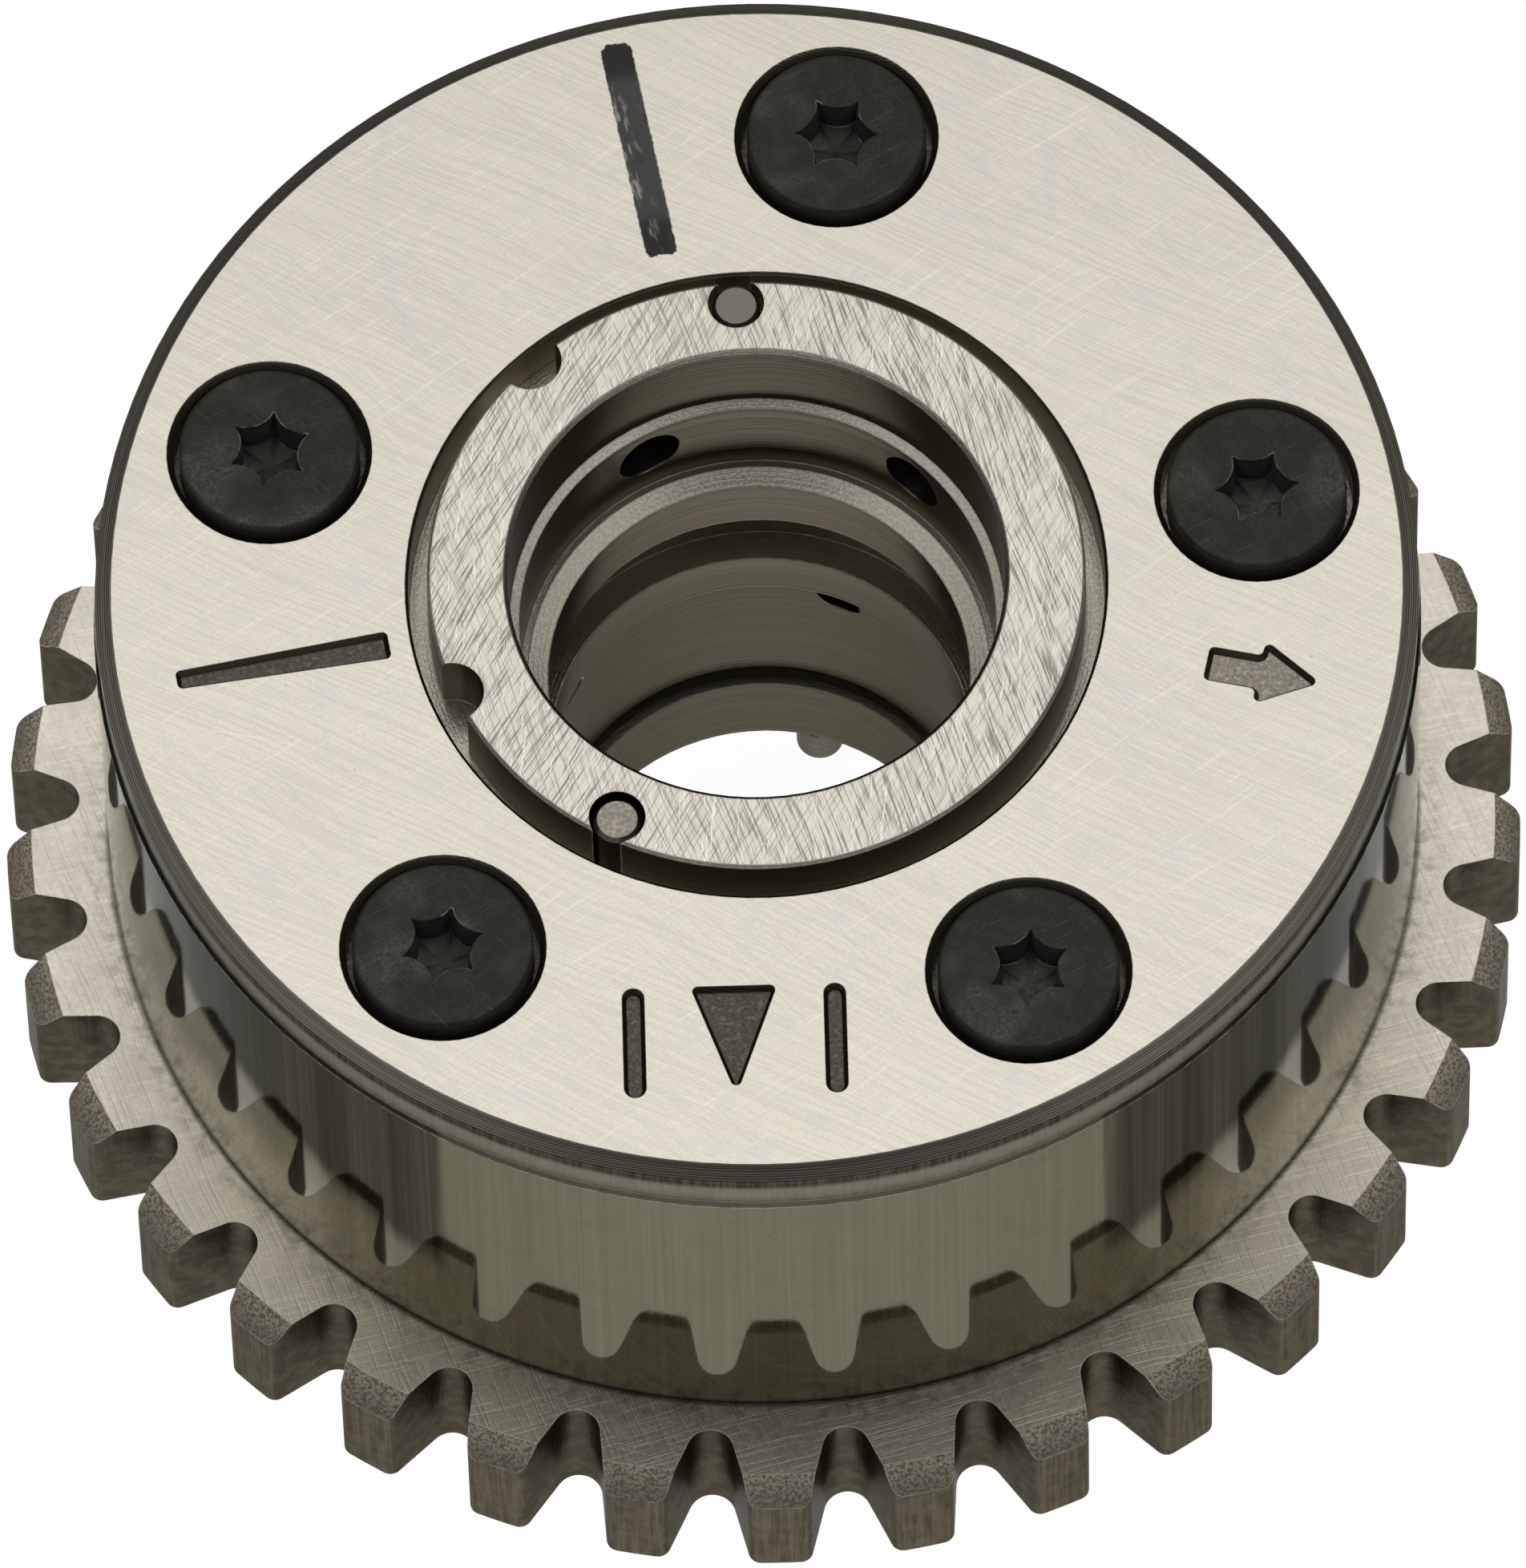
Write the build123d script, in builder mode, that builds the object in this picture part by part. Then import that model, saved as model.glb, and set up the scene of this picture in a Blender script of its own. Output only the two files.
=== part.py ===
from build123d import *
from math import cos, degrees, radians, sin, sqrt, tan
import os

# Vane-type cam phaser. Lengths are in millimetres and angles in degrees.
# Z runs along the camshaft axis. z = 0 is the rotor's rear face, which seats on the camshaft,
# and +Z points to the front cover. Azimuths are counted about +Z from +X.

# Axial stack, from the rear face to the front
hub_stand = 4.8
sprocket_thickness = 9.5
housing_height = 28.2
cover_thickness = 3.5
rotor_stand = 1.4
rotor_end_clearance = 0.05

# Chain sprocket
tooth_count = 33
tooth_depth = 4.6
tooth_root_margin = 1.9
tooth_root_fillet = 1.48
tooth_flank_angle = 20.0
tooth_tip_corner = 0.8
tooth_tip_chamfer = 1.6
tooth_azimuth = -90.2
sprocket_bore_chamfer = 0.6

# Vane housing and its five webs, each centred on a cover screw
chamber_depth = 12.6
chamber_corner = 1.2
housing_wall = 4.6
housing_edge_chamfer = 0.25
web_count = 5
web_pitch = 69.5
first_web_azimuth = 79.5
web_half_angle = 11.5
web_tip_gap = 0.5
web_corner = 0.6

# Front cover
cover_rim_step = 0.2
cover_face_chamfer = 1.0
cover_face_chamfer_depth = 0.5
cover_back_chamfer = 0.25
cover_hub_overlap = 2.4
cover_hole_chamfer = 0.2

# Cover screws, M6 with a low head and a six-lobe socket
screw_hub_distance = 7.65
screw_shank_radius = 3.0
screw_clearance = 0.3
thread_clearance = 0.05
screw_head_radius = 5.6
screw_head_height = 2.8
screw_head_stand = 0.5
screw_head_chamfer = 0.35
screw_tip_chamfer = 0.6
screw_tip_recess = 1.0
counterbore_clearance = 0.4
counterbore_chamfer = 0.4
socket_lobes = 6
socket_tip_radius = 2.8
socket_waist_radius = 2.0
socket_flute_radius = 1.25
socket_depth = 2.2
socket_azimuths = (12.0, 40.0, 18.0, 33.0, 5.0)

# Rotor hub, vanes, front journal and rear spigot
hub_radius = 24.0
journal_gap = 1.2
journal_chamfer = 0.2
spigot_step = 3.3
spigot_clearance = 0.05
spigot_chamfer = 0.5
vane_tip_gap = 0.35
vane_corner_relief = 0.5
vane_root_fillet = 0.5
travel = 30.0
stop_gap = 0.35
free_gap = 0.9

# Stepped rotor bore, from the front: steps in radius, and the length of each stretch
journal_wall = 5.0
mouth_length = 4.85
seat_step = 0.6
seat_length = 7.15
land_step = 1.65
land_length = 5.0
groove_step = 1.95
groove_length = 5.3
lower_land_length = 3.8
relief_step = 0.45
corner_groove_step = 0.75
corner_groove_width = 1.0
cam_bore_wall = 4.25
cam_bore_length = 6.9
bore_chamfer = 0.3
ledge_slope = 25.0
land_ledge_width = 1.15

# Oil ports, drilled from the bore to both sides of each vane
advance_port_radius = 2.1
advance_port_inset = 3.2
retard_port_radius = 1.8
retard_port_drop = 0.45
retard_port_lean = 4.4
port_margin = 0.3

# Journal notches and the two pins that stand in the outer pair
notch_azimuth = 167.0
empty_notch_angle = 35.0
empty_notch_radius = 2.0
empty_notch_offset = 0.1
pin_notch_angle = 74.6
pin_notch_radius = 1.75
pin_notch_inset = 1.5
rotor_pin_radius = 1.5
rotor_pin_length = 13.5
rotor_pin_recess = 0.35
rotor_pin_chamfer = 0.25
press_clearance = 0.02

# Locating pin in the rotor's rear face
cam_pin_radius = 1.5
cam_pin_inset = 2.5
cam_pin_azimuth = 75.0
cam_pin_stand = 3.6
cam_pin_depth = 5.5
cam_pin_chamfer = 0.3
cam_pin_shank_radius = 1.2
cam_pin_neck_length = 0.35
cam_pin_countersink = 0.5

# Tip seals and their leaf springs
seal_width = 2.1
seal_height = 2.1
seal_side_clearance = 0.05
seal_running_gap = 0.06
seal_end_clearance = 0.1
seal_slot_depth = 2.7
leaf_thickness = 0.3
leaf_length = 19.0
leaf_width = 1.7
leaf_clearance = 0.05

# Lock pin in the wide vane, its spring, cap and bush
lock_bore_wall = 1.0
lock_pin_radius = 4.0
lock_pin_clearance = 0.05
lock_pin_length = 15.5
lock_nose_radius = 3.2
lock_nose_length = 3.5
lock_nose_chamfer = 0.6
lock_tip_gap = 0.3
lock_spring_bore_radius = 2.8
lock_spring_bore_depth = 9.0
lock_cap_thickness = 2.6
lock_cap_nose_radius = 1.5
lock_cap_nose_length = 1.8
lock_cap_recess = 0.1
lock_bush_radius = 5.4
lock_bush_depth = 5.0
lock_bush_clearance = 0.2
lock_bush_lead = 0.4
lock_vent_radius = 1.5
lock_spring_radius = 2.2
lock_spring_wire = 0.7
lock_spring_turns = 4
lock_spring_clearance = 0.1

# Hidden dowel between sprocket and housing
dowel_radius = 1.25
dowel_length = 9.0
dowel_chamfer = 0.2

# Marks cut into the cover face: a timing line, an arrow and an index mark
mark_depth = 0.5
mark_taper = 30.0
mark_corner = 0.35
line_azimuth = 188.9
line_inset = 1.5
line_length = 13.35
line_inner_width = 1.9
line_outer_width = 1.25
arrow_azimuth = -13.05
arrow_inset = 6.8
arrow_length = 7.2
arrow_shaft_width = 2.35
arrow_head_width = 4.5
arrow_head_length = 3.9
index_centre_x = -2.1
index_inset = 9.9
index_height = 7.5
index_stroke = 1.4
index_spread = 6.2
index_triangle_width = 5.4

# Overrun of a cutting tool past the face that it opens
overrun = 1.0
same_radius = 0.001

# Levels, azimuths and radii that follow from the sizes above
sprocket_back = hub_stand
sprocket_front = sprocket_back + sprocket_thickness
housing_top = sprocket_front + housing_height
cover_face = housing_top + cover_thickness
rotor_face = cover_face + rotor_stand
vane_base = sprocket_front + rotor_end_clearance
vane_top = housing_top - rotor_end_clearance

journal_radius = hub_radius - cover_hub_overlap - journal_gap
spigot_radius = journal_radius - spigot_step
cover_hole_radius = hub_radius - cover_hub_overlap
chamber_radius = hub_radius + chamber_depth
housing_radius = chamber_radius + housing_wall
wall_middle_radius = chamber_radius + housing_wall / 2
cover_radius = housing_radius - cover_rim_step
tooth_root_radius = housing_radius + tooth_root_margin
tooth_tip_radius = tooth_root_radius + tooth_depth
screw_circle_radius = hub_radius + screw_hub_distance

mouth_radius = journal_radius - journal_wall
seat_radius = mouth_radius - seat_step
land_radius = seat_radius - land_step
groove_radius = land_radius + groove_step
relief_radius = land_radius + relief_step
cam_bore_radius = spigot_radius - cam_bore_wall
corner_groove_radius = relief_radius + corner_groove_step
mouth_end = cover_face - mouth_length
seat_end = mouth_end - seat_length
land_end = seat_end - land_length
groove_end = land_end - groove_length
lower_land_end = groove_end - lower_land_length
advance_port_height = mouth_end - advance_port_inset
retard_port_height = lower_land_end - retard_port_drop

web_azimuths = [first_web_azimuth - web_pitch * k for k in range(web_count)]
wide_pitch = 360 - web_pitch * (web_count - 1)
web_tip_radius = hub_radius + web_tip_gap
vane_tip_radius = chamber_radius - vane_tip_gap
vane_corner = chamber_corner + vane_corner_relief
spigot_bore_radius = spigot_radius + spigot_clearance
port_start_radius = (land_radius + relief_radius) / 2

stop_angle = degrees(stop_gap / web_tip_radius)
free_angle = degrees(free_gap / web_tip_radius)
wide_vane_angle = wide_pitch - 2 * web_half_angle - 2 * stop_angle - travel
vane_angle = web_pitch - 2 * web_half_angle - 2 * free_angle - travel
wide_vane_azimuth = web_azimuths[-1] + 360 - web_half_angle - stop_angle - wide_vane_angle / 2
vanes = [(wide_vane_azimuth, wide_vane_angle)]
for web_azimuth in web_azimuths[:-1]:
    vanes.append((web_azimuth - web_half_angle - free_angle - vane_angle / 2, vane_angle))

counterbore_radius = screw_head_radius + counterbore_clearance
counterbore_depth = screw_head_height - screw_head_stand
screw_seat = cover_face - counterbore_depth
screw_tip = sprocket_back + screw_tip_recess
screw_hole_radius = screw_shank_radius + screw_clearance
screw_thread_radius = screw_shank_radius + thread_clearance
flute_circle_radius = socket_waist_radius + socket_flute_radius

vane_slot_bottom = vane_tip_radius - seal_slot_depth
vane_seal_outer = chamber_radius - seal_running_gap
vane_seal_inner = vane_seal_outer - seal_height
web_slot_bottom = web_tip_radius + seal_slot_depth
web_seal_inner = hub_radius + seal_running_gap
web_seal_outer = web_seal_inner + seal_height
seal_slot_width = seal_width + 2 * seal_side_clearance
seal_base = sprocket_front + seal_end_clearance
seal_length = housing_height - 2 * seal_end_clearance

empty_notch_centre = journal_radius + empty_notch_offset
pin_notch_centre = journal_radius - pin_notch_inset
cam_pin_centre = spigot_radius - cam_pin_inset

line_inner_radius = cover_hole_radius + line_inset
line_outer_radius = line_inner_radius + line_length
arrow_tail_radius = cover_hole_radius + arrow_inset

lock_tip = sprocket_front + lock_tip_gap
lock_pin_top = lock_tip + lock_pin_length
lock_bore_radius = lock_pin_radius + lock_pin_clearance
lock_circle_radius = vane_slot_bottom - lock_bore_wall - lock_bore_radius
lock_cap_top = vane_top - lock_cap_recess
lock_spring_base = lock_pin_top - lock_spring_bore_depth + lock_spring_clearance
lock_spring_top = lock_cap_top - lock_cap_thickness - lock_spring_clearance
dowel_azimuth = first_web_azimuth + wide_pitch / 2


def polar(radius, azimuth, height=0.0):
    """Point at a radius and an azimuth about the camshaft axis."""
    return (radius * cos(radians(azimuth)), radius * sin(radians(azimuth)), height)


def placed(radius, azimuth):
    """Location at a radius and an azimuth, turned so that its X axis points outwards."""
    return Location(polar(radius, azimuth), (0, 0, azimuth))


def radial_plane(azimuth, height):
    """Plane through the camshaft axis whose X axis points outwards and whose Y axis is the axis."""
    outwards = polar(1, azimuth)
    return Plane(origin=(0, 0, height), x_dir=outwards, z_dir=(outwards[1], -outwards[0], 0))


def corners_at(shape, radius):
    """Corners of a flat profile that lie at a radius from the axis."""
    return shape.vertices().filter_by(lambda v: abs(sqrt(v.X**2 + v.Y**2) - radius) < same_radius)


def of_radius(edges, radius):
    """Round edges of one radius."""
    return edges.filter_by(GeomType.CIRCLE).filter_by(lambda e: abs(e.radius - radius) < same_radius)


def sector(inner_radius, outer_radius, half_angle, free_radius, corner):
    """Ring sector about +X, with the two corners at its free end rounded."""
    with BuildSketch() as profile:
        with BuildLine():
            inner = CenterArc((0, 0), inner_radius, -half_angle, 2 * half_angle)
            outer = CenterArc((0, 0), outer_radius, -half_angle, 2 * half_angle)
            Line(inner @ 0, outer @ 0)
            Line(inner @ 1, outer @ 1)
        make_face()
        fillet(corners_at(profile, free_radius), corner)
    return profile.sketch


def save(node, label):
    """Label a finished piece and write it to its own file."""
    node.part.label = label
    export_step(node.part, f"parts/{label}.step")


os.makedirs("parts", exist_ok=True)

# Chain sprocket: tooth gaps with a round root and straight flanks, cut from a disc
flank_point_x = tooth_root_radius + tooth_root_fillet * (1 - sin(radians(tooth_flank_angle)))
flank_point_y = tooth_root_fillet * cos(radians(tooth_flank_angle))
gap_end_x = tooth_tip_radius + overrun
gap_end_y = flank_point_y + (gap_end_x - flank_point_x) * tan(radians(tooth_flank_angle))
first_gap_azimuth = tooth_azimuth + 180 / tooth_count

with BuildSketch() as tooth_gap:
    with BuildLine():
        ThreePointArc(
            (flank_point_x, -flank_point_y), (tooth_root_radius, 0), (flank_point_x, flank_point_y)
        )
        Polyline(
            (flank_point_x, flank_point_y),
            (gap_end_x, gap_end_y),
            (gap_end_x, -gap_end_y),
            (flank_point_x, -flank_point_y),
        )
    make_face()

with BuildPart() as sprocket:
    with BuildSketch(Plane.XY.offset(sprocket_back)) as sprocket_profile:
        Circle(tooth_tip_radius)
        with PolarLocations(0, tooth_count, first_gap_azimuth):
            add(tooth_gap.sketch, mode=Mode.SUBTRACT)
        fillet(corners_at(sprocket_profile, tooth_tip_radius), tooth_tip_corner)
        Circle(spigot_bore_radius, mode=Mode.SUBTRACT)
        with Locations(*[placed(screw_circle_radius, azimuth) for azimuth in web_azimuths]):
            Circle(screw_thread_radius, mode=Mode.SUBTRACT)
        with Locations(placed(lock_circle_radius, wide_vane_azimuth)):
            Circle(lock_vent_radius, mode=Mode.SUBTRACT)
    extrude(amount=sprocket_thickness)
    # Chamfered tooth tips at the front
    with BuildSketch(Plane.XZ):
        with BuildLine():
            Polyline(
                (tooth_tip_radius - tooth_tip_chamfer, sprocket_front),
                (tooth_tip_radius + overrun, sprocket_front),
                (tooth_tip_radius + overrun, sprocket_front - tooth_tip_chamfer - overrun),
                close=True,
            )
        make_face()
    revolve(axis=Axis.Z, mode=Mode.SUBTRACT)
    # Lead-in of the spigot bore at the back
    with BuildSketch(Plane.XZ):
        with BuildLine():
            Polyline(
                (spigot_bore_radius - overrun, sprocket_back),
                (spigot_bore_radius + sprocket_bore_chamfer, sprocket_back),
                (spigot_bore_radius, sprocket_back + sprocket_bore_chamfer),
                (spigot_bore_radius - overrun, sprocket_back + sprocket_bore_chamfer),
                close=True,
            )
        make_face()
    revolve(axis=Axis.Z, mode=Mode.SUBTRACT)
    # Seats of the lock bush and of the housing dowel
    with BuildSketch(Plane.XY.offset(sprocket_front)):
        with Locations(placed(lock_circle_radius, wide_vane_azimuth)):
            Circle(lock_bush_radius + press_clearance)
    extrude(amount=-lock_bush_depth, mode=Mode.SUBTRACT)
    with BuildSketch(Plane.XY.offset(sprocket_front)):
        with Locations(placed(wall_middle_radius, dowel_azimuth)):
            Circle(dowel_radius + press_clearance)
    extrude(amount=-dowel_length / 2, mode=Mode.SUBTRACT)
save(sprocket, "sprocket")

# Vane housing: outer wall, webs with seal slots in their tips, and screw holes
web_profile = sector(web_tip_radius, wall_middle_radius, web_half_angle, web_tip_radius, web_corner)

with BuildPart() as housing:
    with BuildSketch(Plane.XY.offset(sprocket_front)) as housing_profile:
        Circle(housing_radius)
        Circle(chamber_radius, mode=Mode.SUBTRACT)
        with Locations(*[Location((0, 0, 0), (0, 0, azimuth)) for azimuth in web_azimuths]):
            add(web_profile)
        fillet(corners_at(housing_profile, chamber_radius), chamber_corner)
        with Locations(*[placed(web_slot_bottom, azimuth) for azimuth in web_azimuths]):
            Rectangle(
                seal_slot_depth + overrun,
                seal_slot_width,
                align=(Align.MAX, Align.CENTER),
                mode=Mode.SUBTRACT,
            )
        with Locations(*[placed(screw_circle_radius, azimuth) for azimuth in web_azimuths]):
            Circle(screw_hole_radius, mode=Mode.SUBTRACT)
    extrude(amount=housing_height)
    chamfer(of_radius(housing.edges(), housing_radius), housing_edge_chamfer)
    with BuildSketch(Plane.XY.offset(sprocket_front)):
        with Locations(placed(wall_middle_radius, dowel_azimuth)):
            Circle(dowel_radius + press_clearance)
    extrude(amount=dowel_length / 2, mode=Mode.SUBTRACT)
save(housing, "vane_housing")

# Front cover with its counterbores and the marks cut into its face
with BuildSketch() as arrow_mark:
    shaft_end = arrow_tail_radius + arrow_length - arrow_head_length
    with BuildLine():
        Polyline(
            (arrow_tail_radius, -arrow_shaft_width / 2),
            (shaft_end, -arrow_shaft_width / 2),
            (shaft_end, -arrow_head_width / 2),
            (arrow_tail_radius + arrow_length, 0),
            (shaft_end, arrow_head_width / 2),
            (shaft_end, arrow_shaft_width / 2),
            (arrow_tail_radius, arrow_shaft_width / 2),
            close=True,
        )
    make_face()
    fillet(arrow_mark.vertices(), mark_corner)

with BuildSketch() as line_mark:
    with BuildLine():
        Polyline(
            (line_inner_radius, -line_inner_width / 2),
            (line_outer_radius, -line_outer_width / 2),
            (line_outer_radius, line_outer_width / 2),
            (line_inner_radius, line_inner_width / 2),
            close=True,
        )
    make_face()
    fillet(line_mark.vertices(), mark_corner)

with BuildSketch() as index_triangle:
    with BuildLine():
        Polyline(
            (-index_triangle_width / 2, index_height / 2),
            (index_triangle_width / 2, index_height / 2),
            (0, -index_height / 2),
            close=True,
        )
    make_face()
    fillet(index_triangle.vertices(), mark_corner)

with BuildPart() as cover:
    with BuildSketch(Plane.XY.offset(housing_top)):
        Circle(cover_radius)
        Circle(cover_hole_radius, mode=Mode.SUBTRACT)
        with Locations(*[placed(screw_circle_radius, azimuth) for azimuth in web_azimuths]):
            Circle(screw_hole_radius, mode=Mode.SUBTRACT)
    extrude(amount=cover_thickness)
    with BuildSketch(Plane.XY.offset(cover_face)):
        with Locations(*[placed(screw_circle_radius, azimuth) for azimuth in web_azimuths]):
            Circle(counterbore_radius)
    extrude(amount=-counterbore_depth, mode=Mode.SUBTRACT)
    face_edges = cover.faces().sort_by(Axis.Z)[-1].edges()
    chamfer(of_radius(face_edges, cover_hole_radius), cover_hole_chamfer)
    chamfer(of_radius(face_edges, counterbore_radius), counterbore_chamfer)
    back_edges = cover.faces().sort_by(Axis.Z)[0].edges()
    chamfer(of_radius(back_edges, cover_radius), cover_back_chamfer)
    # Flat chamfer round the front, wider than it is deep
    cover_slope = cover_face_chamfer_depth / cover_face_chamfer
    with BuildSketch(Plane.XZ):
        with BuildLine():
            Polyline(
                (cover_radius - cover_face_chamfer - overrun, cover_face + overrun * cover_slope),
                (cover_radius + overrun, cover_face + overrun * cover_slope),
                (cover_radius + overrun, cover_face - (cover_face_chamfer + overrun) * cover_slope),
                close=True,
            )
        make_face()
    revolve(axis=Axis.Z, mode=Mode.SUBTRACT)
    with BuildSketch(Plane.XY.offset(cover_face)):
        with Locations(Location((0, 0, 0), (0, 0, line_azimuth))):
            add(line_mark.sketch)
        with Locations(Location((0, 0, 0), (0, 0, arrow_azimuth))):
            add(arrow_mark.sketch)
        with Locations((index_centre_x, -cover_hole_radius - index_inset)):
            add(index_triangle.sketch)
            with Locations((-index_spread, 0), (index_spread, 0)):
                SlotOverall(index_height, index_stroke, rotation=90)
    extrude(amount=-mark_depth, taper=mark_taper, mode=Mode.SUBTRACT)
save(cover, "front_cover")

# Cover screws: low head with a six-lobe socket, plain shank down to the sprocket's thread
for number, azimuth in enumerate(web_azimuths):
    with BuildPart() as screw:
        with BuildSketch(Plane.XY.offset(screw_seat)):
            with Locations(placed(screw_circle_radius, azimuth)):
                Circle(screw_head_radius)
        extrude(amount=screw_head_height)
        chamfer(screw.faces().sort_by(Axis.Z)[-1].edges(), screw_head_chamfer)
        with BuildSketch(Plane.XY.offset(screw_seat)):
            with Locations(placed(screw_circle_radius, azimuth)):
                Circle(screw_shank_radius)
        extrude(amount=screw_tip - screw_seat)
        chamfer(screw.faces().sort_by(Axis.Z)[0].edges(), screw_tip_chamfer)
        with BuildSketch(Plane.XY.offset(screw_seat + screw_head_height)):
            with Locations(placed(screw_circle_radius, azimuth)):
                Circle(socket_tip_radius)
                with PolarLocations(flute_circle_radius, socket_lobes, socket_azimuths[number]):
                    Circle(socket_flute_radius, mode=Mode.SUBTRACT)
        extrude(amount=-socket_depth, mode=Mode.SUBTRACT)
    save(screw, f"cover_screw_{number + 1}")

# Rotor: hub with vanes, front journal, rear spigot, stepped bore, oil ports and pin holes
with BuildPart() as rotor:
    with BuildSketch(Plane.XY.offset(vane_base)) as vane_profile:
        Circle(hub_radius)
        for azimuth, angle in vanes:
            with Locations(Location((0, 0, 0), (0, 0, azimuth))):
                add(sector(spigot_radius, vane_tip_radius, angle / 2, vane_tip_radius, vane_corner))
        fillet(corners_at(vane_profile, hub_radius), vane_root_fillet)
        with Locations(*[placed(vane_slot_bottom, azimuth) for azimuth, angle in vanes]):
            Rectangle(
                seal_slot_depth + overrun,
                seal_slot_width,
                align=(Align.MIN, Align.CENTER),
                mode=Mode.SUBTRACT,
            )
        with Locations(placed(lock_circle_radius, wide_vane_azimuth)):
            Circle(lock_bore_radius, mode=Mode.SUBTRACT)
    extrude(amount=vane_top - vane_base)
    with BuildSketch(Plane.XY.offset(vane_top)):
        Circle(journal_radius)
    extrude(amount=rotor_face - vane_top)
    chamfer(rotor.faces().sort_by(Axis.Z)[-1].edges(), journal_chamfer)
    with BuildSketch(Plane.XY.offset(vane_base)):
        Circle(spigot_radius)
    extrude(amount=-vane_base)
    chamfer(rotor.faces().sort_by(Axis.Z)[0].edges(), spigot_chamfer)
    # Stepped bore
    with BuildSketch(Plane.XZ):
        with BuildLine():
            Polyline(
                (0, rotor_face + overrun),
                (mouth_radius + bore_chamfer + overrun, rotor_face + overrun),
                (mouth_radius, rotor_face - bore_chamfer),
                (mouth_radius, mouth_end),
                (seat_radius, mouth_end - seat_step * tan(radians(ledge_slope))),
                (seat_radius, seat_end),
                (land_radius + land_ledge_width, seat_end),
                (land_radius, seat_end - land_ledge_width * tan(radians(ledge_slope))),
                (land_radius, land_end),
                (groove_radius, land_end),
                (groove_radius, groove_end),
                (land_radius, groove_end),
                (land_radius, lower_land_end),
                (relief_radius, lower_land_end),
                (relief_radius, cam_bore_length + corner_groove_width),
                (corner_groove_radius, cam_bore_length + corner_groove_width),
                (corner_groove_radius, cam_bore_length),
                (cam_bore_radius, cam_bore_length),
                (cam_bore_radius, bore_chamfer),
                (cam_bore_radius + bore_chamfer + overrun, -overrun),
                (0, -overrun),
                close=True,
            )
        make_face()
    revolve(axis=Axis.Z, mode=Mode.SUBTRACT)
    # Oil ports beside the vanes: advance ports near the front, retard ports below the land
    for azimuth, angle in vanes:
        advance_side = azimuth - angle / 2 - degrees((advance_port_radius + port_margin) / hub_radius)
        with BuildSketch(Plane(origin=(0, 0, advance_port_height), z_dir=polar(1, advance_side))):
            Circle(advance_port_radius)
        extrude(amount=hub_radius + overrun, mode=Mode.SUBTRACT)
        retard_side = azimuth + angle / 2 + degrees((retard_port_radius + port_margin) / hub_radius)
        port_start = polar(port_start_radius, retard_side - retard_port_lean, retard_port_height)
        port_course = Vector(polar(hub_radius, retard_side, retard_port_height)) - Vector(port_start)
        with BuildSketch(Plane(origin=port_start, z_dir=port_course)):
            Circle(retard_port_radius)
        extrude(amount=port_course.length + overrun, mode=Mode.SUBTRACT)
    # Notches down the journal's wall, and the holes of its two pins
    with BuildSketch(Plane.XY.offset(vane_top)):
        for side in (-1, 1):
            with Locations(placed(empty_notch_centre, notch_azimuth + side * empty_notch_angle)):
                Circle(empty_notch_radius)
            with Locations(placed(pin_notch_centre, notch_azimuth + side * pin_notch_angle)):
                Circle(pin_notch_radius)
    extrude(amount=rotor_face - vane_top + overrun, mode=Mode.SUBTRACT)
    rotor_pin_base = rotor_face - rotor_pin_recess - rotor_pin_length
    with BuildSketch(Plane.XY.offset(rotor_pin_base)):
        for side in (-1, 1):
            with Locations(placed(pin_notch_centre, notch_azimuth + side * pin_notch_angle)):
                Circle(rotor_pin_radius + press_clearance)
    extrude(amount=vane_top - rotor_pin_base + overrun, mode=Mode.SUBTRACT)
    with BuildSketch(Plane.XY):
        with Locations(placed(cam_pin_centre, cam_pin_azimuth)):
            Circle(cam_pin_shank_radius + press_clearance)
    extrude(amount=cam_pin_depth, mode=Mode.SUBTRACT)
    # Countersink, wider than the pin, so that the camshaft's end face seats flat
    with Locations(placed(cam_pin_centre, cam_pin_azimuth)):
        Cone(
            cam_pin_shank_radius + press_clearance + cam_pin_countersink,
            cam_pin_shank_radius + press_clearance,
            cam_pin_countersink,
            align=(Align.CENTER, Align.CENTER, Align.MIN),
            mode=Mode.SUBTRACT,
        )
save(rotor, "rotor")

# The two pins in the journal
for name, side in (("rotor_pin_a", -1), ("rotor_pin_b", 1)):
    with BuildPart() as rotor_pin:
        with BuildSketch(Plane.XY.offset(rotor_pin_base)):
            with Locations(placed(pin_notch_centre, notch_azimuth + side * pin_notch_angle)):
                Circle(rotor_pin_radius)
        extrude(amount=rotor_pin_length)
        chamfer(rotor_pin.faces().sort_by(Axis.Z)[-1].edges(), rotor_pin_chamfer)
    save(rotor_pin, name)

# Locating pin that stands in the camshaft's end face
with BuildPart() as cam_pin:
    with BuildSketch(Plane.XY.offset(-cam_pin_stand)):
        with Locations(placed(cam_pin_centre, cam_pin_azimuth)):
            Circle(cam_pin_radius)
    extrude(amount=cam_pin_stand - cam_pin_neck_length)
    chamfer(cam_pin.faces().sort_by(Axis.Z)[0].edges(), cam_pin_chamfer)
    # Thinner shank, pressed into the rotor
    with BuildSketch(Plane.XY.offset(-cam_pin_neck_length)):
        with Locations(placed(cam_pin_centre, cam_pin_azimuth)):
            Circle(cam_pin_shank_radius)
    extrude(amount=cam_pin_neck_length + cam_pin_depth)
save(cam_pin, "cam_locating_pin")


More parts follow.
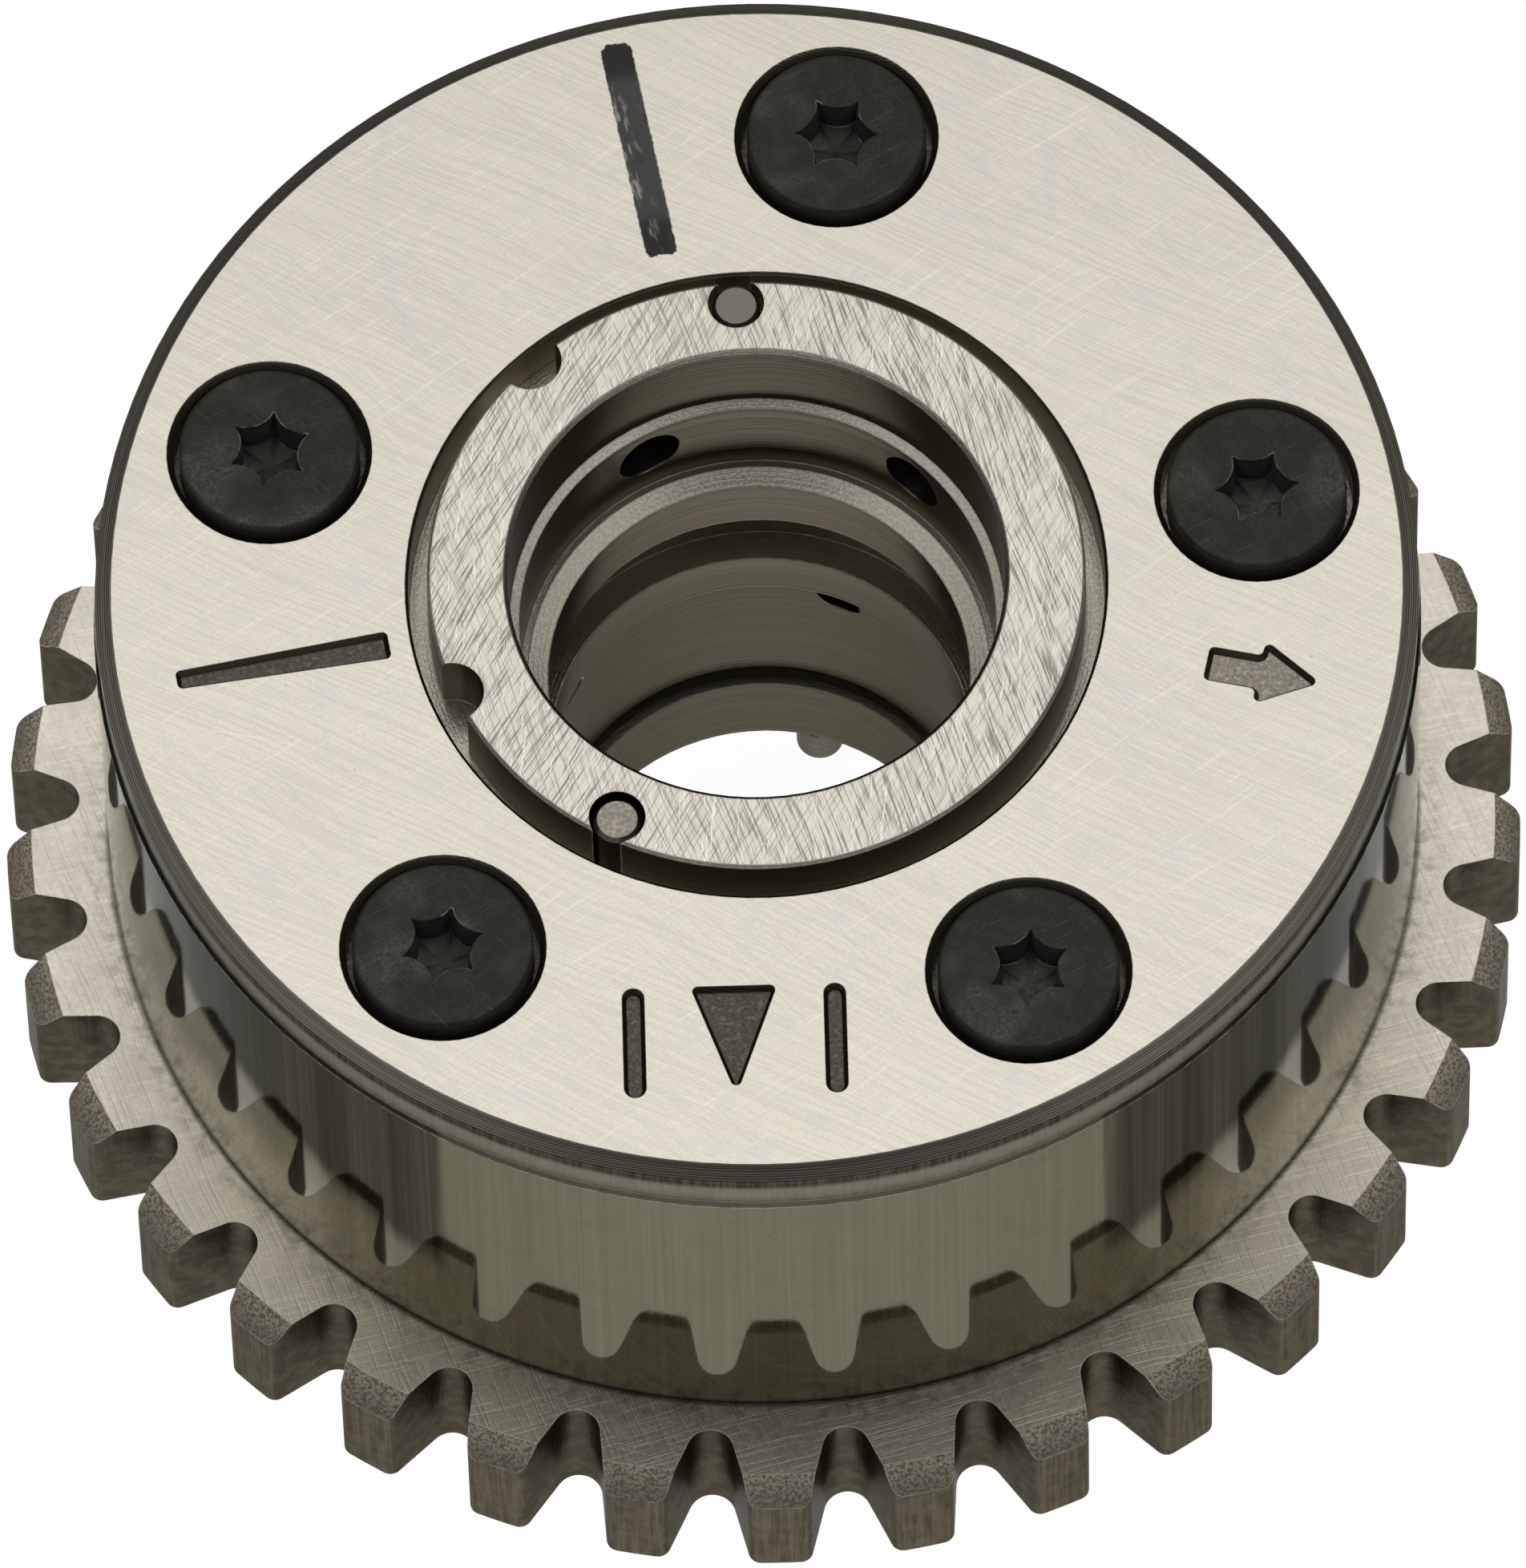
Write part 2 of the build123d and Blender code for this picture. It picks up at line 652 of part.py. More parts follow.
def save_leaf_spring(low_radius, high_radius, azimuth, label):
    """Bowed leaf spring in a seal slot, its ends at the low radius and its crown at the high one."""
    ends = low_radius + leaf_clearance
    crown = high_radius - leaf_clearance - leaf_thickness
    half = leaf_length / 2
    with BuildPart() as leaf:
        with BuildSketch(radial_plane(azimuth, seal_base + seal_length / 2)):
            with BuildLine():
                inside = ThreePointArc((ends, -half), (crown, 0), (ends, half))
                outside = ThreePointArc(
                    (ends + leaf_thickness, -half),
                    (crown + leaf_thickness, 0),
                    (ends + leaf_thickness, half),
                )
                Line(inside @ 0, outside @ 0)
                Line(inside @ 1, outside @ 1)
            make_face()
        extrude(amount=leaf_width / 2, both=True)
    save(leaf, label)


# Tip seals of the vanes and of the webs, each with its leaf spring
for number, (azimuth, angle) in enumerate(vanes):
    with BuildPart() as vane_seal:
        with BuildSketch(Plane.XY.offset(seal_base)):
            with Locations(placed(vane_seal_inner, azimuth)):
                Rectangle(seal_height + overrun, seal_width, align=(Align.MIN, Align.CENTER))
            Circle(vane_seal_outer, mode=Mode.INTERSECT)
        extrude(amount=seal_length)
    save(vane_seal, f"vane_seal_{number + 1}")
    save_leaf_spring(vane_slot_bottom, vane_seal_inner, azimuth, f"vane_seal_spring_{number + 1}")

for number, azimuth in enumerate(web_azimuths):
    with BuildPart() as web_seal:
        with BuildSketch(Plane.XY.offset(seal_base)):
            with Locations(placed(web_seal_outer, azimuth)):
                Rectangle(seal_height + overrun, seal_width, align=(Align.MAX, Align.CENTER))
            Circle(web_seal_inner, mode=Mode.SUBTRACT)
        extrude(amount=seal_length)
    save(web_seal, f"web_seal_{number + 1}")
    save_leaf_spring(web_seal_outer, web_slot_bottom, azimuth, f"web_seal_spring_{number + 1}")

# Lock pin, its cap in the wide vane and the bush that it locks into
lock_axis = Plane(origin=polar(lock_circle_radius, wide_vane_azimuth))

with BuildPart() as lock_pin:
    with BuildSketch(lock_axis.offset(lock_tip)):
        Circle(lock_nose_radius)
    extrude(amount=lock_nose_length)
    chamfer(lock_pin.faces().sort_by(Axis.Z)[0].edges(), lock_nose_chamfer)
    with BuildSketch(lock_axis.offset(lock_tip + lock_nose_length)):
        Circle(lock_pin_radius)
    extrude(amount=lock_pin_length - lock_nose_length)
    with BuildSketch(lock_axis.offset(lock_pin_top)):
        Circle(lock_spring_bore_radius)
    extrude(amount=-lock_spring_bore_depth, mode=Mode.SUBTRACT)
save(lock_pin, "lock_pin")

with BuildPart() as lock_cap:
    with BuildSketch(lock_axis.offset(lock_cap_top)):
        Circle(lock_bore_radius - press_clearance)
    extrude(amount=-lock_cap_thickness)
    with BuildSketch(lock_axis.offset(lock_cap_top - lock_cap_thickness)):
        Circle(lock_cap_nose_radius)
    extrude(amount=-lock_cap_nose_length)
save(lock_cap, "lock_pin_cap")

with BuildPart() as lock_bush:
    with BuildSketch(lock_axis.offset(sprocket_front)):
        Circle(lock_bush_radius)
        Circle(lock_nose_radius + lock_bush_clearance, mode=Mode.SUBTRACT)
    extrude(amount=-lock_bush_depth)
    mouth = lock_bush.faces().sort_by(Axis.Z)[-1].edges().sort_by(SortBy.LENGTH)[0]
    chamfer(mouth, lock_bush_lead)
save(lock_bush, "lock_bush")

# Lock spring: square wire coil between the pin and its cap
coil_height = lock_spring_top - lock_spring_base - lock_spring_wire
with BuildPart() as lock_spring:
    with BuildLine():
        coil = Helix(
            coil_height / lock_spring_turns,
            coil_height,
            lock_spring_radius,
            center=polar(lock_circle_radius, wide_vane_azimuth, lock_spring_base + lock_spring_wire / 2),
        )
    with BuildSketch(Plane(origin=coil @ 0, z_dir=coil % 0)):
        Rectangle(lock_spring_wire, lock_spring_wire)
    sweep(is_frenet=True)
save(lock_spring, "lock_pin_spring")

# Dowel that sets the housing on the sprocket
with BuildPart() as dowel:
    with BuildSketch(Plane.XY.offset(sprocket_front - dowel_length / 2)):
        with Locations(placed(wall_middle_radius, dowel_azimuth)):
            Circle(dowel_radius)
    extrude(amount=dowel_length)
    chamfer(dowel.faces().sort_by(Axis.Z)[-1].edges(), dowel_chamfer)
    chamfer(dowel.faces().sort_by(Axis.Z)[0].edges(), dowel_chamfer)
save(dowel, "housing_dowel")
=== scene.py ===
import math
from functools import cache

import bmesh
import bpy
from bpy.props import FloatProperty, FloatVectorProperty, PointerProperty
from mathutils import Matrix, Vector


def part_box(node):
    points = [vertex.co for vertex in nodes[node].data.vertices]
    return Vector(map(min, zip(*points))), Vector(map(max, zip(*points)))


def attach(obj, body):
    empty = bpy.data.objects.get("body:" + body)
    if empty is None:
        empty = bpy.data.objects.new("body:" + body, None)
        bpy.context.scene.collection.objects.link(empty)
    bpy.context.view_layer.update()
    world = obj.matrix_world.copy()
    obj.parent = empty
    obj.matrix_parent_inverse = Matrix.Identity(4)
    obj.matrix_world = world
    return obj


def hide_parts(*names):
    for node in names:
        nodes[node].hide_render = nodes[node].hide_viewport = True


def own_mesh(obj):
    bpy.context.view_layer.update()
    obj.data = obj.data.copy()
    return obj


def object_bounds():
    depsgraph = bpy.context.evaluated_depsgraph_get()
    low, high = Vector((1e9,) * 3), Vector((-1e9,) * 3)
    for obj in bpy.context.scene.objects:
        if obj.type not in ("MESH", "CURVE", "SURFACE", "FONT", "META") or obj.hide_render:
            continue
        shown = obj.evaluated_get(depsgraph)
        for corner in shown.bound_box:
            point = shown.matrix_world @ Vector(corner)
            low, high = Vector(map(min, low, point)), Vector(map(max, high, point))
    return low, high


bl_info = {
    "name": "Cam phaser",
    "version": (1, 0, 0),
    "blender": (4, 5, 0),
    "location": "3D View > Sidebar > Phaser",
    "description": "Machined steel finishes, studio floor, lights and camera for a cam phaser",
    "category": "Object",
}

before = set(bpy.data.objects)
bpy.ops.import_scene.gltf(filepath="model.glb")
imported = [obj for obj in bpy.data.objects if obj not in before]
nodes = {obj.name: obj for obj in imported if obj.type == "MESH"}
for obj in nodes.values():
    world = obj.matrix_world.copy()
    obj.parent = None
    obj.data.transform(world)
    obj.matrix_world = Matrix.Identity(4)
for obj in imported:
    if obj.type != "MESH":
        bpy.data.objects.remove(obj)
frame_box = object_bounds()

# Everything below is in millimetres unless a name ends in _m.
MM = 0.001
COVER_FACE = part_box("front_cover")[1].z / MM
SPROCKET_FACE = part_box("sprocket")[1].z / MM
ROTOR_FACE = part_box("rotor")[1].z / MM
WALL_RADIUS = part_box("vane_housing")[1].x / MM
TIP_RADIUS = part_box("sprocket")[1].x / MM

# Cover screws: M6 with a low head; the first tip of each socket points in these azimuths. The socket
# has a chamfered edge and a floor that is dished twice
HEAD_HEIGHT = 2.8
HEAD_OVERHANG = 2.6
TIP_CHAMFER = 0.6
SOCKET_DEPTH = 2.2
SOCKET_LOBES = 6
SOCKET_AZIMUTHS = (-3.1, 3.9, 25.9, 16.2, 21.7)
SOCKET_EDGE = (0.09, 0.14)
SOCKET_FLOOR_SHARE = 0.93
SOCKET_DISH = (0.12, 0.3)
SCREW_SIDES = 144
ROUND_STEPS = 5

# Lock spring: four active turns between two closed ones
COIL_WIRE_RADIUS = 0.34
COIL_ACTIVE_TURNS = 4
COIL_CLOSED_TURNS = 1
COIL_STEPS = 28
WIRE_SIDES = 10

# Wall, painted reflections: degrees from the near side where the dark bands start, where the painted
# light comes in and where the rear begins; a band's lower edge is BAND_LOW high and rises by
# BAND_RISE each degree
BAND_START = 30.3
BAND_LOW = 14.0
BAND_RISE = 0.31
LIGHT_WALL = (32.0, 62.0)
LIGHT_HEIGHTS = (27.0, 19.0)
REAR_WALL = (92.0, 125.0)

# Other finishes: the arrow's pale floor comes in between two distances on X, the bore is painted
# darker as shade between two heights, and a stain is a ring's x, y, radius and width
GROOVE_PITCH = 0.14
INK_CORNER = 0.45
ARROW_FROM = (24.0, 26.0)
TOOTH_CHAMFER = 2.0
BORE_SHADE_HEIGHTS = (26.0, 18.0)
BORE_LIMIT = 19.25
WHITE = (1.0, 1.0, 1.0, 1.0)
STEEL_EDGE_TINT = (0.42, 0.42, 0.41, 1.0)
RING_STAINS = ((-2.0, 27.0, 21.0, 0.5), (29.3, 24.3, 3.4, 0.35), (31.5, 1.0, 13.0, 0.4))

# The camera: the frame is taken as 1904 by 1956 pixels
FRAME_WIDTH_PX = 1904
FRAME_HEIGHT_PX = 1956
PX_PER_MM = 20.149
FACE_CENTRE_PX = (943.9, 727.1)
CAMERA_ELEVATION = math.radians(63.285)
CAMERA_ROLL = 0.0280
CAMERA_DISTANCE = 1667.9
SENSOR = 36.0

# Studio: half the floor's side, the soft box's place, how far up the sky brightens as a share of
# straight up, and the cone round the camera in which it is dimmed
FLOOR_HALF_M = 8.0
BOX_ELEVATION = math.radians(85.0)
BOX_DISTANCE_M = 0.6
SKY_RISE = (0.2, 0.72)
HOOD_RIM = math.cos(math.radians(32))
HOOD_CORE = math.cos(math.radians(14))


# Node helpers


def put(tree, socket, value):
    """Link a socket to another, or set its plain value."""
    if isinstance(value, bpy.types.NodeSocket):
        tree.links.new(value, socket)
    else:
        socket.default_value = value


def add(tree, kind, inputs=(), **settings):
    """New node with its settings, and its inputs by number or by name."""
    made = tree.nodes.new(kind)
    for name, value in settings.items():
        setattr(made, name, value)
    pairs = inputs.items() if isinstance(inputs, dict) else enumerate(inputs)
    for key, value in pairs:
        if value is not None:
            put(tree, made.inputs[key], value)
    return made


def calc(tree, operation, a, b=None, clamp=False):
    return add(tree, "ShaderNodeMath", (a, b), operation=operation, use_clamp=clamp).outputs[0]


def times(tree, a, b, clamp=False):
    return calc(tree, "MULTIPLY", a, b, clamp)


def plus(tree, a, b):
    return calc(tree, "ADD", a, b)


def minus(tree, a, b, clamp=False):
    return calc(tree, "SUBTRACT", a, b, clamp)


def over(tree, a, b):
    return calc(tree, "DIVIDE", a, b)


def larger(tree, a, b):
    return calc(tree, "MAXIMUM", a, b)


def ramp(tree, value, low, high, out_low=0.0, out_high=1.0):
    """Smooth step of a value from low to high."""
    inputs = (value, low, high, out_low, out_high)
    return add(tree, "ShaderNodeMapRange", inputs, interpolation_type="SMOOTHSTEP").outputs[0]


def past(tree, value, edge, soft):
    """Mask of what lies past an edge; a negative softness turns it round."""
    return ramp(tree, value, edge - soft, edge + soft)


def blend(tree, factor, first, second):
    """Colour that goes from the first to the second with the factor."""
    made = add(tree, "ShaderNodeMix", {0: factor, 6: first, 7: second}, data_type="RGBA")
    return made.outputs[2]


def between(tree, factor, first, second):
    """Number that goes from the first to the second with the factor."""
    made = add(tree, "ShaderNodeMix", {0: factor, 2: first, 3: second}, data_type="FLOAT")
    return made.outputs[0]


def parts(tree, vector):
    return add(tree, "ShaderNodeSeparateXYZ", (vector,)).outputs


def joined(tree, x, y, z):
    return add(tree, "ShaderNodeCombineXYZ", (x, y, z)).outputs[0]


def scaled(tree, vector, by):
    return add(tree, "ShaderNodeVectorMath", (vector, by), operation="MULTIPLY").outputs[0]


def noise(tree, vector, scale=1.0, detail=2.0, roughness=0.5):
    inputs = {"Vector": vector, "Scale": scale, "Detail": detail, "Roughness": roughness}
    return add(tree, "ShaderNodeTexNoise", inputs).outputs[0]


def spun(tree, vector, angle):
    """Vector turned about the camshaft axis."""
    inputs = {"Vector": vector, "Angle": angle}
    return add(tree, "ShaderNodeVectorRotate", inputs, rotation_type="Z_AXIS").outputs[0]


def dot(tree, a, b):
    return add(tree, "ShaderNodeVectorMath", (a, b), operation="DOT_PRODUCT").outputs["Value"]


def hypotenuse(tree, a, b):
    return calc(tree, "SQRT", plus(tree, times(tree, a, a), times(tree, b, b)))


SOCKETS = {"value": "NodeSocketFloat", "vector": "NodeSocketVector", "colour": "NodeSocketColor"}


def new_group(name, inputs, outputs):
    """Empty node group with named inputs (name, kind, default) and outputs (name, kind)."""
    tree = bpy.data.node_groups.new(name, "ShaderNodeTree")
    for label, kind, default in inputs:
        socket = tree.interface.new_socket(name=label, in_out="INPUT", socket_type=SOCKETS[kind])
        if default is not None:
            socket.default_value = default
    for label, kind in outputs:
        tree.interface.new_socket(name=label, in_out="OUTPUT", socket_type=SOCKETS[kind])
    return tree, add(tree, "NodeGroupInput").outputs, add(tree, "NodeGroupOutput").inputs


def place(tree, group, **inputs):
    """Put a node group in a tree and give it its own values."""
    made = tree.nodes.new("ShaderNodeGroup")
    made.node_tree = group
    for name, value in inputs.items():
        put(tree, made.inputs[name.replace("_", " ")], value)
    return made.outputs


# Effects that several finishes share; each group is made once, when it is first asked for


@cache
def surface_group():
    """Where a point of the part is, in millimetres, and which way its face looks."""
    tree, _, out = new_group(
        "Surface",
        (),
        (
            ("Position", "vector"),
            ("Radius", "value"),
            ("Height", "value"),
            ("Facing up", "value"),
            ("Facing down", "value"),
            ("Slope", "value"),
        ),
    )
    coordinates = add(tree, "ShaderNodeTexCoord").outputs
    position = scaled(tree, coordinates["Object"], (1 / MM,) * 3)
    x, y, z = parts(tree, position)
    radius = hypotenuse(tree, x, y)
    slope = parts(tree, coordinates["Normal"])[2]
    put(tree, out["Position"], position)
    put(tree, out["Radius"], radius)
    put(tree, out["Height"], z)
    put(tree, out["Facing up"], ramp(tree, slope, 0.94, 0.985))
    put(tree, out["Facing down"], ramp(tree, slope, -0.94, -0.985))
    put(tree, out["Slope"], slope)
    return tree


@cache
def worn_highlit_edge_group():
    """Sharp edges: a rounded normal, and a mask of where they are rubbed bright and get a painted
    highlight.
    """
    tree, given, out = new_group(
        "Worn and highlit edges",
        (("Radius", "value", 0.0001), ("Amount", "value", 1.0), ("Position", "vector", None)),
        (("Edge", "value"), ("Normal", "vector")),
    )
    rounded = add(tree, "ShaderNodeBevel", {"Radius": given["Radius"]}, samples=2).outputs[0]
    flat = add(tree, "ShaderNodeNewGeometry").outputs["Normal"]
    turn = dot(tree, rounded, flat)
    edge = ramp(tree, minus(tree, 1.0, turn), 0.01, 0.12)
    patchy = ramp(tree, noise(tree, given["Position"], 1.3, 1.0, 0.6), 0.36, 0.62, 0.25, 1.0)
    amount = times(tree, times(tree, edge, patchy), given["Amount"], clamp=True)
    put(tree, out["Edge"], amount)
    put(tree, out["Normal"], rounded)
    return tree


@cache
def hairline_group():
    """Long thin scratches that run in one direction over a flat face, in patches."""
    tree, given, out = new_group(
        "Hairlines",
        (
            ("Position", "vector", None),
            ("Direction", "value", 0.0),
            ("Length", "value", 8.0),
            ("Width", "value", 0.15),
            ("Amount", "value", 0.5),
        ),
        (("Lines", "value"),),
    )
    turned = spun(tree, given["Position"], times(tree, given["Direction"], -math.pi / 180))
    x, y, z = parts(tree, turned)
    wander = times(tree, noise(tree, given["Position"], 0.07, 1.0), 2.0)
    stretched = joined(
        tree,
        over(tree, x, given["Length"]),
        over(tree, plus(tree, y, wander), given["Width"]),
        over(tree, z, given["Length"]),
    )
    lines = noise(tree, stretched, 1.0, 2.0, 0.6)
    low = minus(tree, 0.72, times(tree, given["Amount"], 0.3))
    put(tree, out["Lines"], ramp(tree, lines, low, plus(tree, low, 0.16)))
    return tree


@cache
def turning_group():
    """Fine grooves that a lathe leaves round the axis."""
    tree, given, out = new_group(
        "Turning marks",
        (("Position", "vector", None), ("Pitch", "value", 0.12), ("Contrast", "value", 0.5)),
        (("Lines", "value"),),
    )
    x, y, z = parts(tree, given["Position"])
    radius = hypotenuse(tree, x, y)
    ripple = over(tree, radius, given["Pitch"])
    grooves = joined(tree, ripple, over(tree, z, given["Pitch"]), 0.0)
    lines = noise(tree, grooves, 1.0, 2.0, 0.7)
    half = times(tree, minus(tree, 1.0, given["Contrast"]), 0.25)
    low = minus(tree, 0.48, half)
    high = plus(tree, 0.52, half)
    put(tree, out["Lines"], ramp(tree, lines, low, high))
    return tree


@cache
def axial_group():
    """Fine streaks along the axis on a round wall."""
    tree, given, out = new_group(
        "Axial streaks",
        (("Position", "vector", None), ("Width", "value", 0.3), ("Length", "value", 60.0)),
        (("Lines", "value"),),
    )
    x, y, z = parts(tree, given["Position"])
    stretched = joined(
        tree,
        over(tree, x, given["Width"]),
        over(tree, y, given["Width"]),
        over(tree, z, given["Length"]),
    )
    put(tree, out["Lines"], ramp(tree, noise(tree, stretched, 1.0, 2.0, 0.7), 0.3, 0.7))
    return tree


@cache
def grain_group():
    """Soft cloudy grain of a given size."""
    tree, given, out = new_group(
        "Grain",
        (
            ("Position", "vector", None),
            ("Size", "value", 0.3),
            ("Low", "value", 0.35),
            ("High", "value", 0.65),
        ),
        (("Grain", "value"),),
    )
    cloudy = noise(tree, given["Position"], over(tree, 1.0, given["Size"]), 2.0, 0.6)
    put(tree, out["Grain"], ramp(tree, cloudy, given["Low"], given["High"]))
    return tree


def worn_highlit_edges(tree, position, radius, amount):
    return place(tree, worn_highlit_edge_group(), Position=position, Radius=radius * MM, Amount=amount)


def hairlines(tree, position, direction, length, width, amount):
    inputs = {"Direction": direction, "Length": length, "Width": width, "Amount": amount}
    return place(tree, hairline_group(), Position=position, **inputs)["Lines"]


def turning_marks(tree, position, pitch, contrast):
    return place(tree, turning_group(), Position=position, Pitch=pitch, Contrast=contrast)["Lines"]


def streaks_along(tree, position, width, length):
    return place(tree, axial_group(), Position=position, Width=width, Length=length)["Lines"]


def grain(tree, position, size, low=0.35, high=0.65):
    return place(tree, grain_group(), Position=position, Size=size, Low=low, High=high)["Grain"]


def shade(colour, factor):
    """Lighter or darker version of a colour."""
    return tuple(c * factor for c in colour[:3]) + (1.0,)


def varied(tree, mask, colour, low, high):
    """Colour whose brightness goes from low to high with a mask."""
    return blend(tree, mask, shade(colour, low), shade(colour, high))


def tinted(tree, colour, amount, mask, target):
    """Blend a share of another colour in where a mask is set."""
    return blend(tree, times(tree, mask, amount), colour, target)


def layered(tree, colour, base, layers):
    """Lay masks over a colour: each with its share, and how bright the base colour is there."""
    for mask, share, brightness in layers:
        colour = tinted(tree, colour, share, mask, shade(base, brightness))
    return colour


def empty_tree(owner):
    """Cleared node tree of a material or a world."""
    owner.use_nodes = True
    owner.node_tree.nodes.clear()
    return owner.node_tree


def new_object(name, data):
    """New object in the scene."""
    made = bpy.data.objects.new(name, data)
    bpy.context.scene.collection.objects.link(made)
    return made


def new_material(name):
    """New material, its tree, the inputs of its shader, and the part's surface."""
    material = bpy.data.materials.new(name)
    tree = empty_tree(material)
    shader = add(tree, "ShaderNodeBsdfPrincipled")
    output = add(tree, "ShaderNodeOutputMaterial")
    put(tree, output.inputs["Surface"], shader.outputs[0])
    return material, tree, shader.inputs, place(tree, surface_group())


def bumped(tree, height, normal, distance, strength):
    """Normal of a surface with a height in units of the distance, in millimetres."""
    inputs = {"Height": height, "Distance": distance * MM, "Strength": strength, "Normal": normal}
    return add(tree, "ShaderNodeBump", inputs).outputs[0]


def finish(tree, shader, colour, roughness, normal, metallic=1.0, tint=STEEL_EDGE_TINT):
    """Set what every finish gives its shader; the tint is that of light at a grazing angle."""
    put(tree, shader["Base Color"], colour)
    put(tree, shader["Roughness"], roughness)
    put(tree, shader["Metallic"], metallic)
    put(tree, shader["Specular Tint"], tint)
    put(tree, shader["Normal"], normal)


def dress(names, material):
    """Give a finish to CAD nodes."""
    for name in names:
        slots = nodes[name].data.materials
        slots.clear()
        slots.append(material)


def numbered(stem, count=5):
    return [f"{stem}_{number + 1}" for number in range(count)]


# Finishes


def ring_stains(tree, position):
    """Faint rings that parts and cups left on the face."""
    stain = 0.0
    for x, y, ring_radius, width in RING_STAINS:
        ends = (position, (x, y, COVER_FACE))
        away = add(tree, "ShaderNodeVectorMath", ends, operation="DISTANCE").outputs["Value"]
        off = calc(tree, "ABSOLUTE", minus(tree, away, ring_radius))
        stain = larger(tree, stain, ramp(tree, off, width, width * 0.3))
    return stain


def ink_stroke(tree, position, look):
    """Mask of the hand-drawn stroke, its distance from the middle line, and the way along it."""
    along, across, _ = parts(tree, spun(tree, position, -math.radians(look.ink_azimuth)))
    across = minus(tree, across, look.ink_offset)
    bleed = times(tree, minus(tree, noise(tree, position, 2.6, 2.0, 0.6), 0.5), 0.22)
    half = look.ink_width / 2
    corner = half * INK_CORNER
    side = plus(tree, calc(tree, "ABSOLUTE", across), bleed)
    side = larger(tree, minus(tree, side, half - corner), 0.0)
    outer = larger(tree, minus(tree, along, look.ink_end - corner), 0.0)
    start = look.ink_start - half * 0.4
    inner = larger(tree, minus(tree, start + corner, along), 0.0)
    fray = ramp(tree, noise(tree, position, 1.8, 2.0, 0.6), 0.35, 0.65, 0.75, 1.35)
    beyond = times(tree, plus(tree, outer, inner), fray)
    away = hypotenuse(tree, side, beyond)
    return past(tree, away, corner, -0.06), across, along


